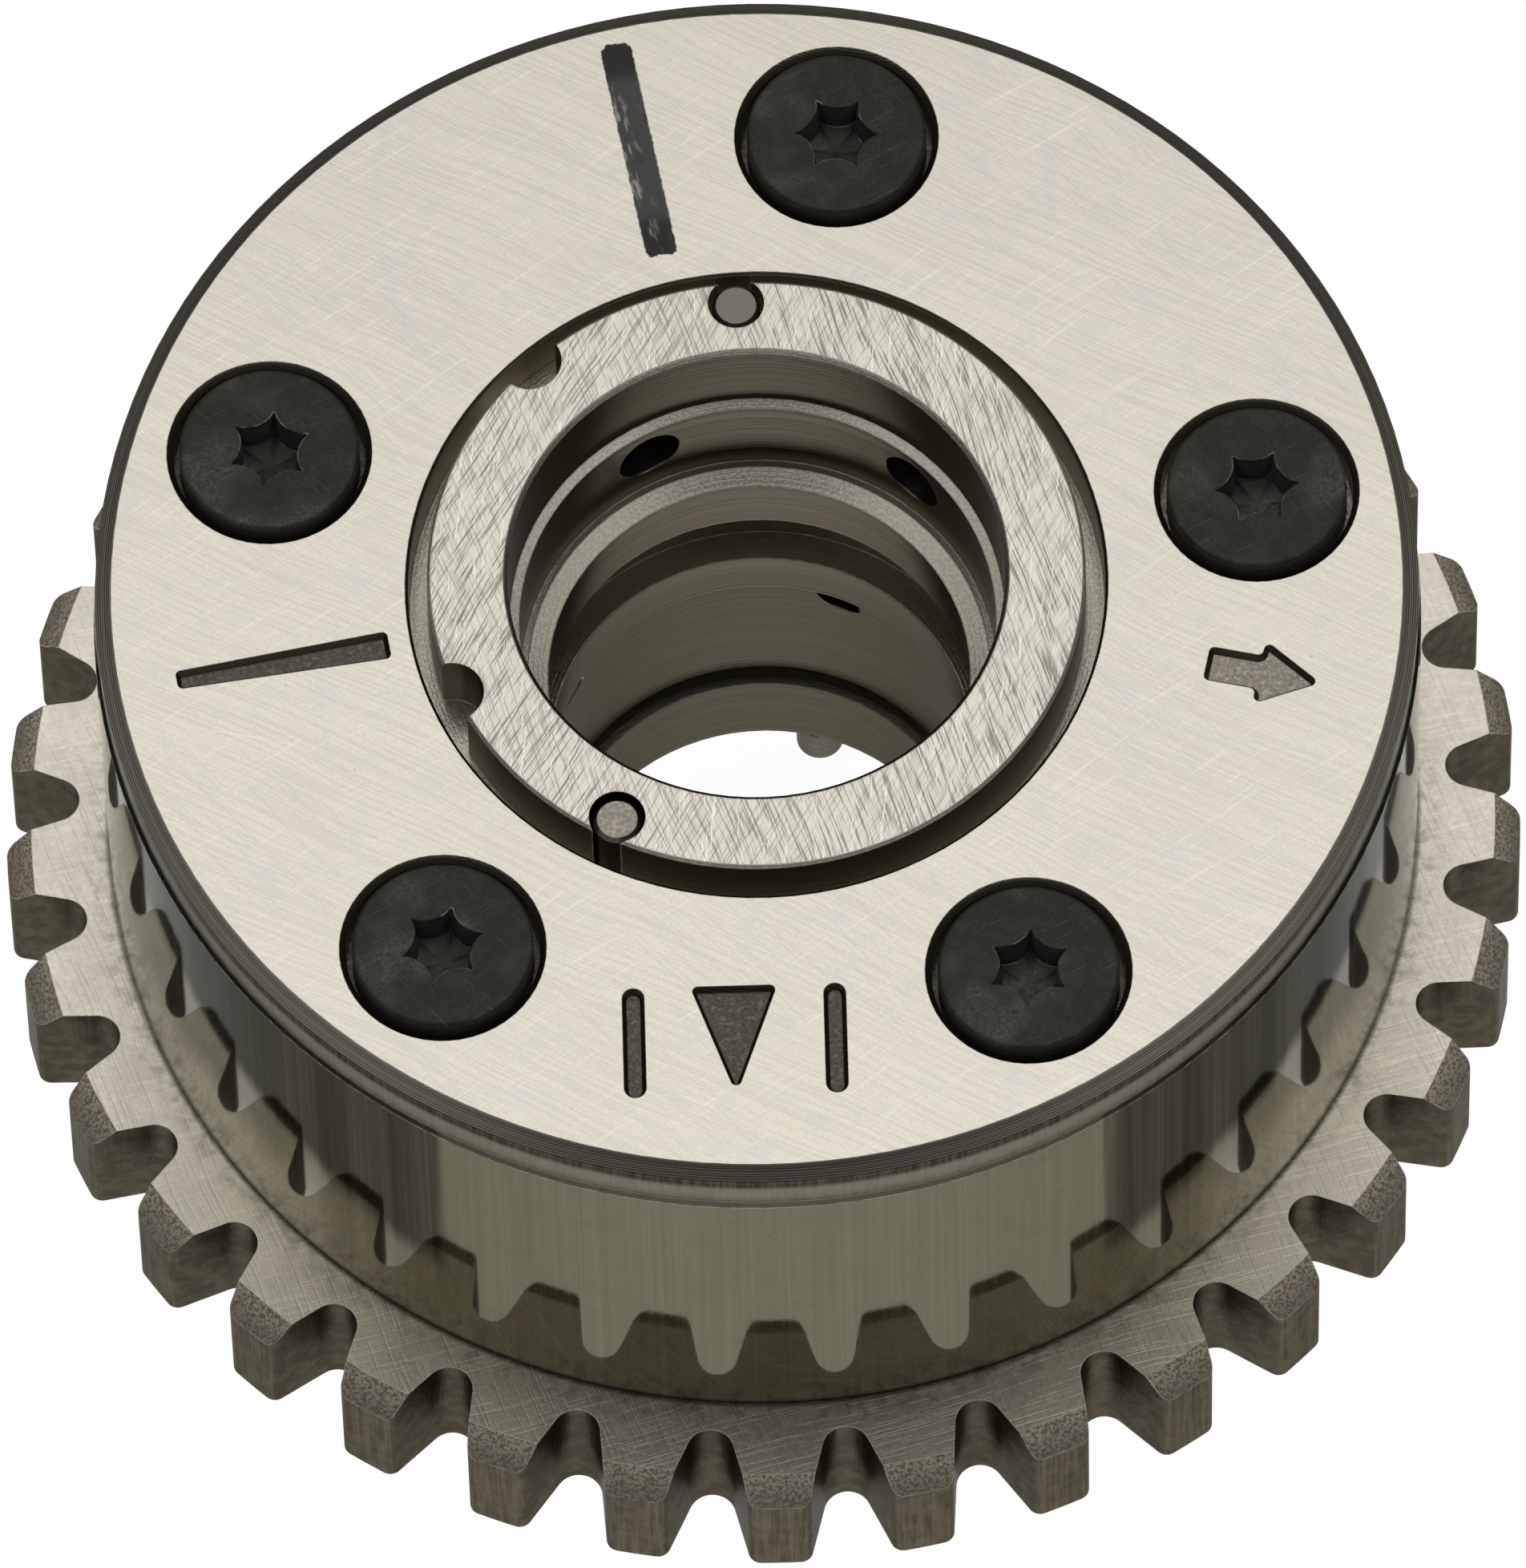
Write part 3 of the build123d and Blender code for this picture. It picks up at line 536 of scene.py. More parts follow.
def cover_steel(look):
    """Ground face with hairlines, an ink stroke and faint stains; turned rim with painted dark
    reflection and shade; cut marks.
    """
    material, tree, shader, surface = new_material("cover_steel")
    position, radius, height = surface["Position"], surface["Radius"], surface["Height"]
    up = surface["Facing up"]
    on_face = times(tree, up, past(tree, height, COVER_FACE - 0.1, 0.05))
    sunk = minus(tree, up, on_face)
    edges = worn_highlit_edges(tree, position, radius=0.09, amount=1.0)

    # Ground face: crossing hairlines, cool and warm mottles, rings and a few dark points
    main = hairlines(tree, position, direction=152.0, length=11.0, width=0.2, amount=0.9)
    second = hairlines(tree, position, direction=132.0, length=7.0, width=0.17, amount=0.75)
    crossing = hairlines(tree, position, direction=34.0, length=6.0, width=0.2, amount=0.5)
    deep = hairlines(tree, position, direction=165.0, length=22.0, width=0.3, amount=0.2)
    mottle = grain(tree, position, size=7.0)
    spots = grain(tree, position, size=2.0, low=0.54, high=0.7)
    speckle = grain(tree, position, size=0.22, low=0.25, high=0.75)
    points = grain(tree, position, size=0.5, low=0.76, high=0.8)
    patches = grain(tree, position, size=11.0, low=0.4, high=0.6)
    ground = varied(tree, mottle, look.ground_steel, 0.97, 1.0)
    layers = (
        (speckle, 0.8, 0.93),
        (main, 0.65, 0.84),
        (second, times(tree, patches, 0.6), 0.84),
        (crossing, 0.45, 1.16),
        (deep, 0.5, 1.25),
    )
    ground = layered(tree, ground, look.ground_steel, layers)
    stain = times(tree, ring_stains(tree, position), patches)
    ground = tinted(tree, ground, 0.35, larger(tree, stain, spots), look.blue_stain)
    ground = tinted(tree, ground, 0.7, points, look.dark_speck_and_shade)

    # Turned chamfer with fine even grooves in painted dark reflection, and painted shade on the wall
    # beneath it
    wave = calc(tree, "SINE", times(tree, radius, math.tau / GROOVE_PITCH))
    rough = turning_marks(tree, position, pitch=0.16, contrast=0.7)
    grooves = plus(tree, times(tree, wave, 0.35), plus(tree, 0.35, times(tree, rough, 0.3)))
    nicks = streaks_along(tree, position, width=0.3, length=3.0)
    chamfer = varied(tree, grooves, look.rim_steel, 0.25, 0.95)
    drop = minus(tree, COVER_FACE, height)
    # Painted shade just under the chamfer, lighter lower down, and darker again towards the bottom
    # edge
    low = ramp(tree, drop, 1.0, 1.8)
    wall = blend(tree, low, shade(look.dark_speck_and_shade, 0.4), shade(look.rim_steel, 0.9))
    wall = blend(tree, ramp(tree, drop, 2.3, 3.4), wall, shade(look.rim_steel, 0.5))
    wall = layered(tree, wall, look.rim_steel, ((rough, 0.3, 0.6), (nicks, 0.15, 1.6)))
    sloping = past(tree, surface["Slope"], 0.4, 0.1)
    side = blend(tree, sloping, wall, chamfer)
    inside = varied(tree, sloping, look.cut_wall, 1.0, 0.32)
    side = blend(tree, past(tree, radius, WALL_RADIUS - 1.8, 0.2), inside, side)

    # Floors of the cut marks: dark, but for the lighter arrow with its bare flecks
    flecks = grain(tree, position, size=0.34, low=0.5, high=0.72)
    floors = varied(tree, speckle, look.mark_floor, 0.75, 1.4)
    arrow = ramp(tree, parts(tree, position)[0], *ARROW_FROM, 0.25, 1.0)
    pale = varied(tree, speckle, look.mark_floor, 2.2, 4.2)
    floors = blend(tree, ramp(tree, arrow, 0.3, 0.9), floors, pale)
    floors = tinted(tree, floors, times(tree, flecks, arrow), 0.6, look.mark_fleck)
    colour = blend(tree, on_face, blend(tree, sunk, side, floors), ground)
    # Edges rubbed bright with a painted highlight, weaker on the face and left out just under the
    # chamfer
    foot = times(tree, ramp(tree, drop, 0.25, 0.4), ramp(tree, drop, 1.4, 1.1))
    keen = times(tree, edges["Edge"], between(tree, on_face, 1.0, 0.4))
    keen = times(tree, keen, minus(tree, 1.0, foot))
    colour = tinted(tree, colour, 0.8, keen, look.worn_edge_highlight)

    # Ink: slate grey where it is thin, nearly black at both ends, with bare flecks
    stroke, across, along = ink_stroke(tree, position, look)
    ink = times(tree, stroke, on_face)
    scraped = hairlines(tree, position, direction=104.0, length=1.5, width=0.4, amount=0.62)
    left = ramp(tree, across, -0.5, 0.8, 0.1, 1.0)
    left = times(tree, left, past(tree, along, look.ink_end - 3.25, -1.25))
    gone = times(tree, times(tree, scraped, left), 0.4)
    ink = times(tree, ink, minus(tree, 1.0, gone))
    outer = past(tree, along, look.ink_end - 2.4, 0.8)
    inner = past(tree, along, look.ink_start + 2.1, -0.9)
    film = varied(tree, spots, look.ink_film, 1.0, 0.55)
    film = tinted(tree, film, 0.4, speckle, shade(look.ink_film, 0.6))
    film = blend(tree, plus(tree, outer, inner), film, look.ink)
    colour = blend(tree, ink, colour, film)

    roughness = between(tree, on_face, 0.26, plus(tree, 0.25, times(tree, speckle, 0.06)))
    roughness = between(tree, ink, roughness, 0.5)
    relief = minus(tree, times(tree, speckle, 0.4), plus(tree, main, second))
    relief = plus(tree, relief, times(tree, crossing, -0.8))
    relief = between(tree, on_face, times(tree, grooves, 3.0), relief)
    normal = bumped(tree, relief, edges["Normal"], distance=0.003, strength=0.7)
    finish(tree, shader, colour, roughness, normal, metallic=between(tree, ink, 1.0, 0.1))
    return material


def wall_steel(look):
    """Satin round wall with axial streaks, painted reflections: dark steel, two broad bands and
    lighter sides.
    """
    material, tree, shader, surface = new_material("housing_steel")
    position, height = surface["Position"], surface["Height"]
    edges = worn_highlit_edges(tree, position, radius=0.09, amount=1.0)
    streaks = streaks_along(tree, position, width=0.5, length=70.0)
    fine = streaks_along(tree, position, width=0.16, length=50.0)
    broad = streaks_along(tree, position, width=2.2, length=150.0)
    clouds = grain(tree, position, size=2.6, low=0.5, high=0.72)
    points = grain(tree, position, size=0.5, low=0.72, high=0.77)
    # Painted reflection: the wall's steel colour is dark
    wall = varied(tree, streaks, look.wall_steel, 0.94, 1.06)
    wall = tinted(tree, wall, 0.6, fine, shade(look.wall_steel, 0.86))
    wall = tinted(tree, wall, 0.22, clouds, look.warm_stain)

    # Painted reflection: lighter steel away from the near side, more so low down, and dark bands on
    # both sides of it
    x, y, _ = parts(tree, position)
    azimuth = calc(tree, "ARCTAN2", times(tree, x, -1.0), times(tree, y, -1.0))
    off = calc(tree, "ABSOLUTE", times(tree, azimuth, 180 / math.pi))
    off = plus(tree, off, times(tree, minus(tree, broad, 0.5), 3.0))
    # Two broad dark bands: a painted reflection of dark surroundings
    band = past(tree, off, BAND_START, 1.5)
    rim = plus(tree, BAND_LOW, times(tree, off, BAND_RISE))
    band = times(tree, band, past(tree, minus(tree, height, rim), 0.0, 1.8))
    dark_reflection = varied(tree, broad, look.dark_reflection_band, 0.75, 1.25)
    dark_reflection = tinted(tree, dark_reflection, 0.5, fine, shade(look.dark_reflection_band, 0.6))
    rear = ramp(tree, off, *REAR_WALL)
    pale = varied(tree, streaks, look.wall_light_reflection, 0.92, 1.0)
    pale = blend(tree, rear, pale, shade(look.wall_light_reflection, 0.46))
    reach = larger(tree, ramp(tree, height, *LIGHT_HEIGHTS, 0.35, 1.0), rear)
    wall = blend(tree, times(tree, ramp(tree, off, *LIGHT_WALL), reach), wall, pale)
    wall = blend(tree, band, wall, dark_reflection)
    wall = tinted(tree, wall, 0.7, points, shade(look.wall_steel, 0.35))

    flat = plus(tree, surface["Facing up"], surface["Facing down"])
    colour = blend(tree, flat, wall, look.sprocket_face)
    # Painted shade along the foot of the wall, where it meets the sprocket
    low = ramp(tree, height, SPROCKET_FACE + 0.5, SPROCKET_FACE + 0.1)
    colour = tinted(tree, colour, 0.6, low, look.dark_speck_and_shade)
    # Edges rubbed bright with a painted highlight
    colour = tinted(tree, colour, 1.0, edges["Edge"], look.worn_edge_highlight)
    relief = plus(tree, streaks, times(tree, fine, 0.5))
    normal = bumped(tree, relief, edges["Normal"], distance=0.0006, strength=0.5)
    finish(tree, shader, colour, between(tree, streaks, 0.045, 0.075), normal)
    return material


def sprocket_steel(look):
    """Light ground faces with crossed scratches; grainy tooth chamfers with a painted highlight;
    flanks in painted dark reflection.
    """
    material, tree, shader, surface = new_material("sprocket_steel")
    position, radius = surface["Position"], surface["Radius"]
    edges = worn_highlit_edges(tree, position, radius=0.11, amount=1.2)
    flat = plus(tree, surface["Facing up"], surface["Facing down"])
    slope = surface["Slope"]
    chamfer = times(tree, ramp(tree, slope, 0.55, 0.68), past(tree, slope, 0.8, -0.05))
    chamfer = times(tree, chamfer, past(tree, radius, TIP_RADIUS - TOOTH_CHAMFER, 0.2))

    # Ground face
    clouds = grain(tree, position, size=3.0)
    speckle = grain(tree, position, size=0.3, low=0.3, high=0.7)
    scratch = hairlines(tree, position, direction=15.0, length=6.0, width=0.2, amount=0.7)
    other = hairlines(tree, position, direction=110.0, length=7.0, width=0.18, amount=0.7)
    third = hairlines(tree, position, direction=162.0, length=4.0, width=0.2, amount=0.5)
    face = varied(tree, clouds, look.sprocket_face, 0.92, 1.04)
    layers = ((speckle, 0.5, 0.86), (scratch, 0.3, 1.3), (other, 0.5, 0.78), (third, 0.3, 1.3))
    face = layered(tree, face, look.sprocket_face, layers)

    # Painted shade in the corner at the foot of the housing, mottled, with a dark line at the joint
    shade_mottle = grain(tree, position, size=1.1, low=0.42, high=0.7)
    foot = times(tree, surface["Facing up"], past(tree, radius, WALL_RADIUS - 0.75, 0.25))
    near = times(tree, foot, past(tree, radius, WALL_RADIUS + 1.25, -0.95))
    line = times(tree, foot, past(tree, radius, WALL_RADIUS + 0.2, -0.15))
    face = tinted(tree, face, times(tree, near, 0.4), shade_mottle, look.corner_shade)
    face = tinted(tree, face, 0.7, line, look.corner_shade)

    # Blasted tooth chamfers, lighter inwards as a painted highlight; tips and flanks dark as a
    # painted reflection, with a rubbed contact patch
    coarse = grain(tree, position, size=0.2, low=0.36, high=0.64)
    inward = past(tree, radius, TIP_RADIUS - 0.8, -0.7)
    blasted = varied(tree, coarse, look.chamfer_steel, 0.5, 1.3)
    blasted = tinted(tree, blasted, 0.55, minus(tree, 1.0, inward), shade(look.chamfer_steel, 0.4))
    mottle = grain(tree, position, size=1.2)
    flank = varied(tree, mottle, look.flank_steel, 0.8, 1.2)
    rubbed = streaks_along(tree, position, width=0.25, length=6.0)
    on_tip = times(tree, past(tree, radius, TIP_RADIUS - 0.175, 0.075), 0.5)
    layers = ((speckle, 0.4, 0.6), (rubbed, on_tip, 1.9))
    flank = layered(tree, flank, look.flank_steel, layers)
    colour = blend(tree, flat, flank, face)
    colour = blend(tree, chamfer, colour, blasted)
    # Edges rubbed bright with a painted highlight
    colour = tinted(tree, colour, 0.85, edges["Edge"], look.worn_edge_highlight)

    roughness = between(tree, flat, 0.36, 0.31)
    roughness = between(tree, chamfer, roughness, 0.5)
    roughness = plus(tree, roughness, times(tree, speckle, 0.06))
    smooth = minus(tree, times(tree, speckle, 0.5), plus(tree, scratch, other))
    relief = between(tree, flat, plus(tree, smooth, times(tree, mottle, 2.0)), smooth)
    relief = between(tree, chamfer, relief, times(tree, coarse, 5.0))
    normal = bumped(tree, relief, edges["Normal"], distance=0.005, strength=0.8)
    finish(tree, shader, colour, roughness, normal)
    return material


def rotor_steel(look):
    """Cross-ground front ring and turned bore in painted dark shade, with light grainy ledges."""
    material, tree, shader, surface = new_material("rotor_steel")
    position, height, slope = surface["Position"], surface["Height"], surface["Slope"]
    edges = worn_highlit_edges(tree, position, radius=0.14, amount=1.6)
    on_face = times(tree, surface["Facing up"], past(tree, height, ROTOR_FACE - 0.2, 0.1))
    ledge = minus(tree, past(tree, slope, 0.5, 0.1), on_face, clamp=True)

    # Ground ring: short crossed grinding lines, light and dark
    first = hairlines(tree, position, direction=108.0, length=3.6, width=0.13, amount=0.78)
    second = hairlines(tree, position, direction=60.0, length=3.2, width=0.13, amount=0.76)
    light = hairlines(tree, position, direction=84.0, length=2.6, width=0.12, amount=0.5)
    speckle = grain(tree, position, size=0.25, low=0.3, high=0.7)
    turned = past(tree, parts(tree, position)[0], -4.0, -10.0)
    layers = (
        (speckle, 0.4, 0.86),
        (first, between(tree, turned, 0.95, 0.5), 0.34),
        (second, between(tree, turned, 0.4, 0.95), 0.34),
        (light, 0.8, 1.45),
    )
    ring = layered(tree, look.ring_steel, look.ring_steel, layers)

    # Bore: fine turning, browner in broad rings, in painted dark shade that deepens further down
    turning = turning_marks(tree, position, pitch=0.22, contrast=0.5)
    broad = turning_marks(tree, position, pitch=2.4, contrast=0.2)
    coarse = grain(tree, position, size=0.2, low=0.38, high=0.62)
    bore = varied(tree, turning, look.bore_steel, 0.85, 1.15)
    bore = tinted(tree, bore, 0.3, broad, look.warm_stain)
    # Painted shade: darker further down the bore
    bore = tinted(tree, bore, 0.5, ramp(tree, height, *BORE_SHADE_HEIGHTS), shade(look.bore_steel, 0.45))
    outside = past(tree, surface["Radius"], BORE_LIMIT, 0.25)
    bore = tinted(tree, bore, 0.8, outside, look.ledge_steel)
    step = varied(tree, coarse, look.ledge_steel, 0.88, 1.08)
    colour = blend(tree, ledge, bore, step)
    colour = blend(tree, surface["Facing down"], colour, look.sprocket_face)
    colour = blend(tree, on_face, colour, ring)
    # Edges rubbed bright with a painted highlight
    colour = tinted(tree, colour, 0.8, edges["Edge"], look.worn_edge_highlight)
    roughness = between(tree, on_face, 0.24, 0.3)
    hatched = minus(tree, light, plus(tree, first, second))
    relief = between(tree, on_face, plus(tree, turning, times(tree, ledge, coarse)), hatched)
    normal = bumped(tree, relief, edges["Normal"], distance=0.005, strength=0.9)
    finish(tree, shader, colour, roughness, normal)
    return material


def black_oxide(look):
    """Black oxide, mottled and scuffed, with edges rubbed to bare steel and a painted highlight here
    and there.
    """
    material, tree, shader, surface = new_material("black_oxide_screw")
    position = surface["Position"]
    edges = worn_highlit_edges(tree, position, radius=0.12, amount=1.3)
    cloudy = grain(tree, position, size=1.6, low=0.4, high=0.68)
    fine = grain(tree, position, size=0.2, low=0.3, high=0.7)
    rubbed = grain(tree, position, size=6.0, low=0.5, high=0.66)
    scuff = hairlines(tree, position, direction=28.0, length=3.4, width=0.16, amount=0.34)
    cross = hairlines(tree, position, direction=-50.0, length=2.2, width=0.14, amount=0.34)
    colour = varied(tree, cloudy, look.black_oxide, 1.0, 1.6)
    colour = tinted(tree, colour, 0.6, fine, shade(look.black_oxide, 0.65))
    sides = past(tree, surface["Slope"], 0.3, -0.2)
    scuffed = larger(tree, scuff, cross)
    for share, mask in ((0.6, sides), (0.3, times(tree, rubbed, fine)), (0.22, scuffed)):
        colour = tinted(tree, colour, share, mask, look.scuff)
    # Edges rubbed to bare steel here and there, with a painted highlight
    keen = past(tree, noise(tree, position, 0.55, 2.0), 0.49, 0.05)
    colour = tinted(tree, colour, 0.8, times(tree, edges["Edge"], keen), look.worn_edge_highlight)
    relief = plus(tree, fine, cloudy)
    normal = bumped(tree, relief, edges["Normal"], distance=0.006, strength=0.8)
    roughness = between(tree, cloudy, 0.40, 0.52)
    finish(tree, shader, colour, roughness, normal, metallic=0.8, tint=WHITE)
    return material


def pin_steel(look, name, end_colour, pitted):
    """Ground pin; its end is plain grey, or rough and pitted inside a bright chamfer."""
    material, tree, shader, surface = new_material(name)
    position = surface["Position"]
    edges = worn_highlit_edges(tree, position, radius=0.08, amount=1.2)
    coarse = grain(tree, position, size=0.3)
    turning = turning_marks(tree, position, pitch=0.2, contrast=0.4)
    body = varied(tree, turning, look.pin_body, 0.85, 1.15)
    end = varied(tree, times(tree, coarse, pitted), end_colour, 1.0, 0.6)
    colour = blend(tree, surface["Facing up"], body, end)
    # Edges rubbed bright with a painted highlight
    colour = blend(tree, times(tree, edges["Edge"], 0.8), colour, look.worn_edge_highlight)
    relief = times(tree, coarse, pitted)
    normal = bumped(tree, relief, edges["Normal"], distance=0.02, strength=0.8)
    finish(tree, shader, colour, 0.34, normal)
    return material


def spring_steel(look):
    """Drawn spring steel with lines along the strip."""
    material, tree, shader, surface = new_material("spring_steel")
    drawn = streaks_along(tree, surface["Position"], width=0.12, length=20.0)
    colour = varied(tree, drawn, look.pin_body, 0.7, 1.0)
    roughness = between(tree, drawn, 0.28, 0.36)
    normal = bumped(tree, drawn, None, distance=0.003, strength=0.8)
    finish(tree, shader, colour, roughness, normal, tint=WHITE)
    return material


def seal_polymer(look):
    """Moulded brown-black polymer with a faint grain."""
    material, tree, shader, surface = new_material("seal_polymer")
    mottled = grain(tree, surface["Position"], size=0.5)
    colour = varied(tree, mottled, look.polymer, 1.0, 1.3)
    roughness = between(tree, mottled, 0.5, 0.6)
    normal = bumped(tree, mottled, None, distance=0.01, strength=0.6)
    finish(tree, shader, colour, roughness, normal, metallic=0.0, tint=WHITE)
    return material


def lobed_radius(azimuth, look):
    """Radius of the six-lobe socket's outline at an azimuth from one of its tips."""
    flute = look.socket_flute
    reach = look.socket_waist + flute
    turn = (azimuth + math.pi / SOCKET_LOBES) % (math.tau / SOCKET_LOBES) - math.pi / SOCKET_LOBES
    inward = math.pi / SOCKET_LOBES - abs(turn)
    root = math.sqrt(max(flute**2 - (reach * math.sin(inward)) ** 2, 0.0))
    return min(reach * math.cos(inward) - root, look.socket_tip)


def skin(mesh, rings):
    """Faces between rings of points that follow each other."""
    for ring, following in zip(rings, rings[1:]):
        for step, point in enumerate(ring):
            after = (step + 1) % len(ring)
            mesh.faces.new((point, following[step], following[after], ring[after]))


def new_piece(mesh, name, sharp_degrees):
    """Object with a finished mesh, smooth but for its sharp edges."""
    bmesh.ops.recalc_face_normals(mesh, faces=mesh.faces)
    data = bpy.data.meshes.new(name)
    mesh.to_mesh(data)
    mesh.free()
    data.polygons.foreach_set("use_smooth", [True] * len(data.polygons))
    data.set_sharp_from_angle(angle=math.radians(sharp_degrees))
    return new_object(name, data)


def screw_piece(number, look):
    """Low-head screw with a rounded rim and a pointed six-lobe socket, for its CAD node."""
    low, high = (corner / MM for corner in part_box(f"cover_screw_{number}"))
    centre = (low + high) / 2
    head = (high.x - low.x) / 2
    top, tip = high.z, low.z
    seat = top - HEAD_HEIGHT
    shank = head - HEAD_OVERHANG
    floor = top - SOCKET_DEPTH
    edge = look.head_round

    # Rows of points from the socket's floor over the rim and down to the tip: each has its share
    # of the lobed outline, its radius and its height
    lip, drop = SOCKET_EDGE
    dish, deepest = SOCKET_DISH
    rows = [(0.5, 0.0, floor - dish), (SOCKET_FLOOR_SHARE, 0.0, floor)]
    rows += [(1.0, 0.0, top - drop), (1.0, lip, top), (0.5, 2.1, top)]
    rows += [(0.0, head - edge - 0.5, top), (0.0, head - edge, top)]
    for step in range(1, ROUND_STEPS + 1):
        turn = math.pi / 2 * step / ROUND_STEPS
        rows.append((0.0, head - edge + edge * math.sin(turn), top - edge + edge * math.cos(turn)))
    rows += [(0.0, head, seat), (0.0, shank, seat)]
    rows += [(0.0, shank, tip + TIP_CHAMFER), (0.0, shank - TIP_CHAMFER, tip)]

    mesh = bmesh.new()
    azimuths = [math.tau * step / SCREW_SIDES for step in range(SCREW_SIDES)]
    twist = math.radians(SOCKET_AZIMUTHS[number - 1])
    rings = []
    for share, radius, height in rows:
        ring = []
        for azimuth in azimuths:
            reach = share * lobed_radius(azimuth - twist, look) + radius
            x = centre.x + reach * math.cos(azimuth)
            y = centre.y + reach * math.sin(azimuth)
            ring.append(mesh.verts.new(Vector((x, y, height)) * MM))
        rings.append(ring)
    skin(mesh, rings)
    for ring, height in ((rings[0], floor - deepest), (rings[-1], tip)):
        middle = mesh.verts.new(Vector((centre.x, centre.y, height)) * MM)
        for step in range(SCREW_SIDES):
            mesh.faces.new((middle, ring[step], ring[(step + 1) % SCREW_SIDES]))
    piece = new_piece(mesh, f"lobed_screw_{number}", sharp_degrees=32)
    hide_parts(f"cover_screw_{number}")
    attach(piece, "housing")
    return piece


def lock_coil():
    """Round-wire lock spring for its CAD node."""
    low, high = (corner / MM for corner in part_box("lock_pin_spring"))
    centre = (low + high) / 2
    length = high.z - low.z
    wire = 2 * COIL_WIRE_RADIUS
    mean = (min(high.x - low.x, high.y - low.y) - wire) / 2
    climb = length - wire
    closed = wire * COIL_CLOSED_TURNS
    turns = COIL_ACTIVE_TURNS + 2 * COIL_CLOSED_TURNS
    mesh = bmesh.new()
    rings = []
    for step in range(turns * COIL_STEPS + 1):
        turn = step / COIL_STEPS
        if turn < COIL_CLOSED_TURNS:
            rise = turn * wire
        elif turn > turns - COIL_CLOSED_TURNS:
            rise = climb - (turns - turn) * wire
        else:
            rise = closed + (climb - 2 * closed) * (turn - COIL_CLOSED_TURNS) / COIL_ACTIVE_TURNS
        azimuth = math.tau * turn
        outwards = Vector((math.cos(azimuth), math.sin(azimuth), 0.0))
        middle = Vector((centre.x, centre.y, low.z + COIL_WIRE_RADIUS + rise)) + outwards * mean
        ring = []
        for side in range(WIRE_SIDES):
            around = math.tau * side / WIRE_SIDES
            spoke = outwards * math.cos(around) + Vector((0.0, 0.0, math.sin(around)))
            ring.append(mesh.verts.new((middle + spoke * COIL_WIRE_RADIUS) * MM))
        rings.append(ring)
    skin(mesh, rings)
    mesh.faces.new(rings[0])
    mesh.faces.new(rings[-1])
    piece = new_piece(mesh, "lock_coil", sharp_degrees=50)
    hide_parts("lock_pin_spring")
    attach(piece, "rotor")
    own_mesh(piece)
    return piece


def colour_property(name, description, default):
    return FloatVectorProperty(
        name=name,
        description=description,
        default=default + (1.0,),
        size=4,
        min=0.0,
        max=1.0,
        subtype="COLOR",
    )


def length_property(name, description, default):
    return FloatProperty(name=name, description=f"{description} in millimetres", default=default)


def level_property(name, description, default):
    return FloatProperty(name=name, description=description, default=default, min=0.0)


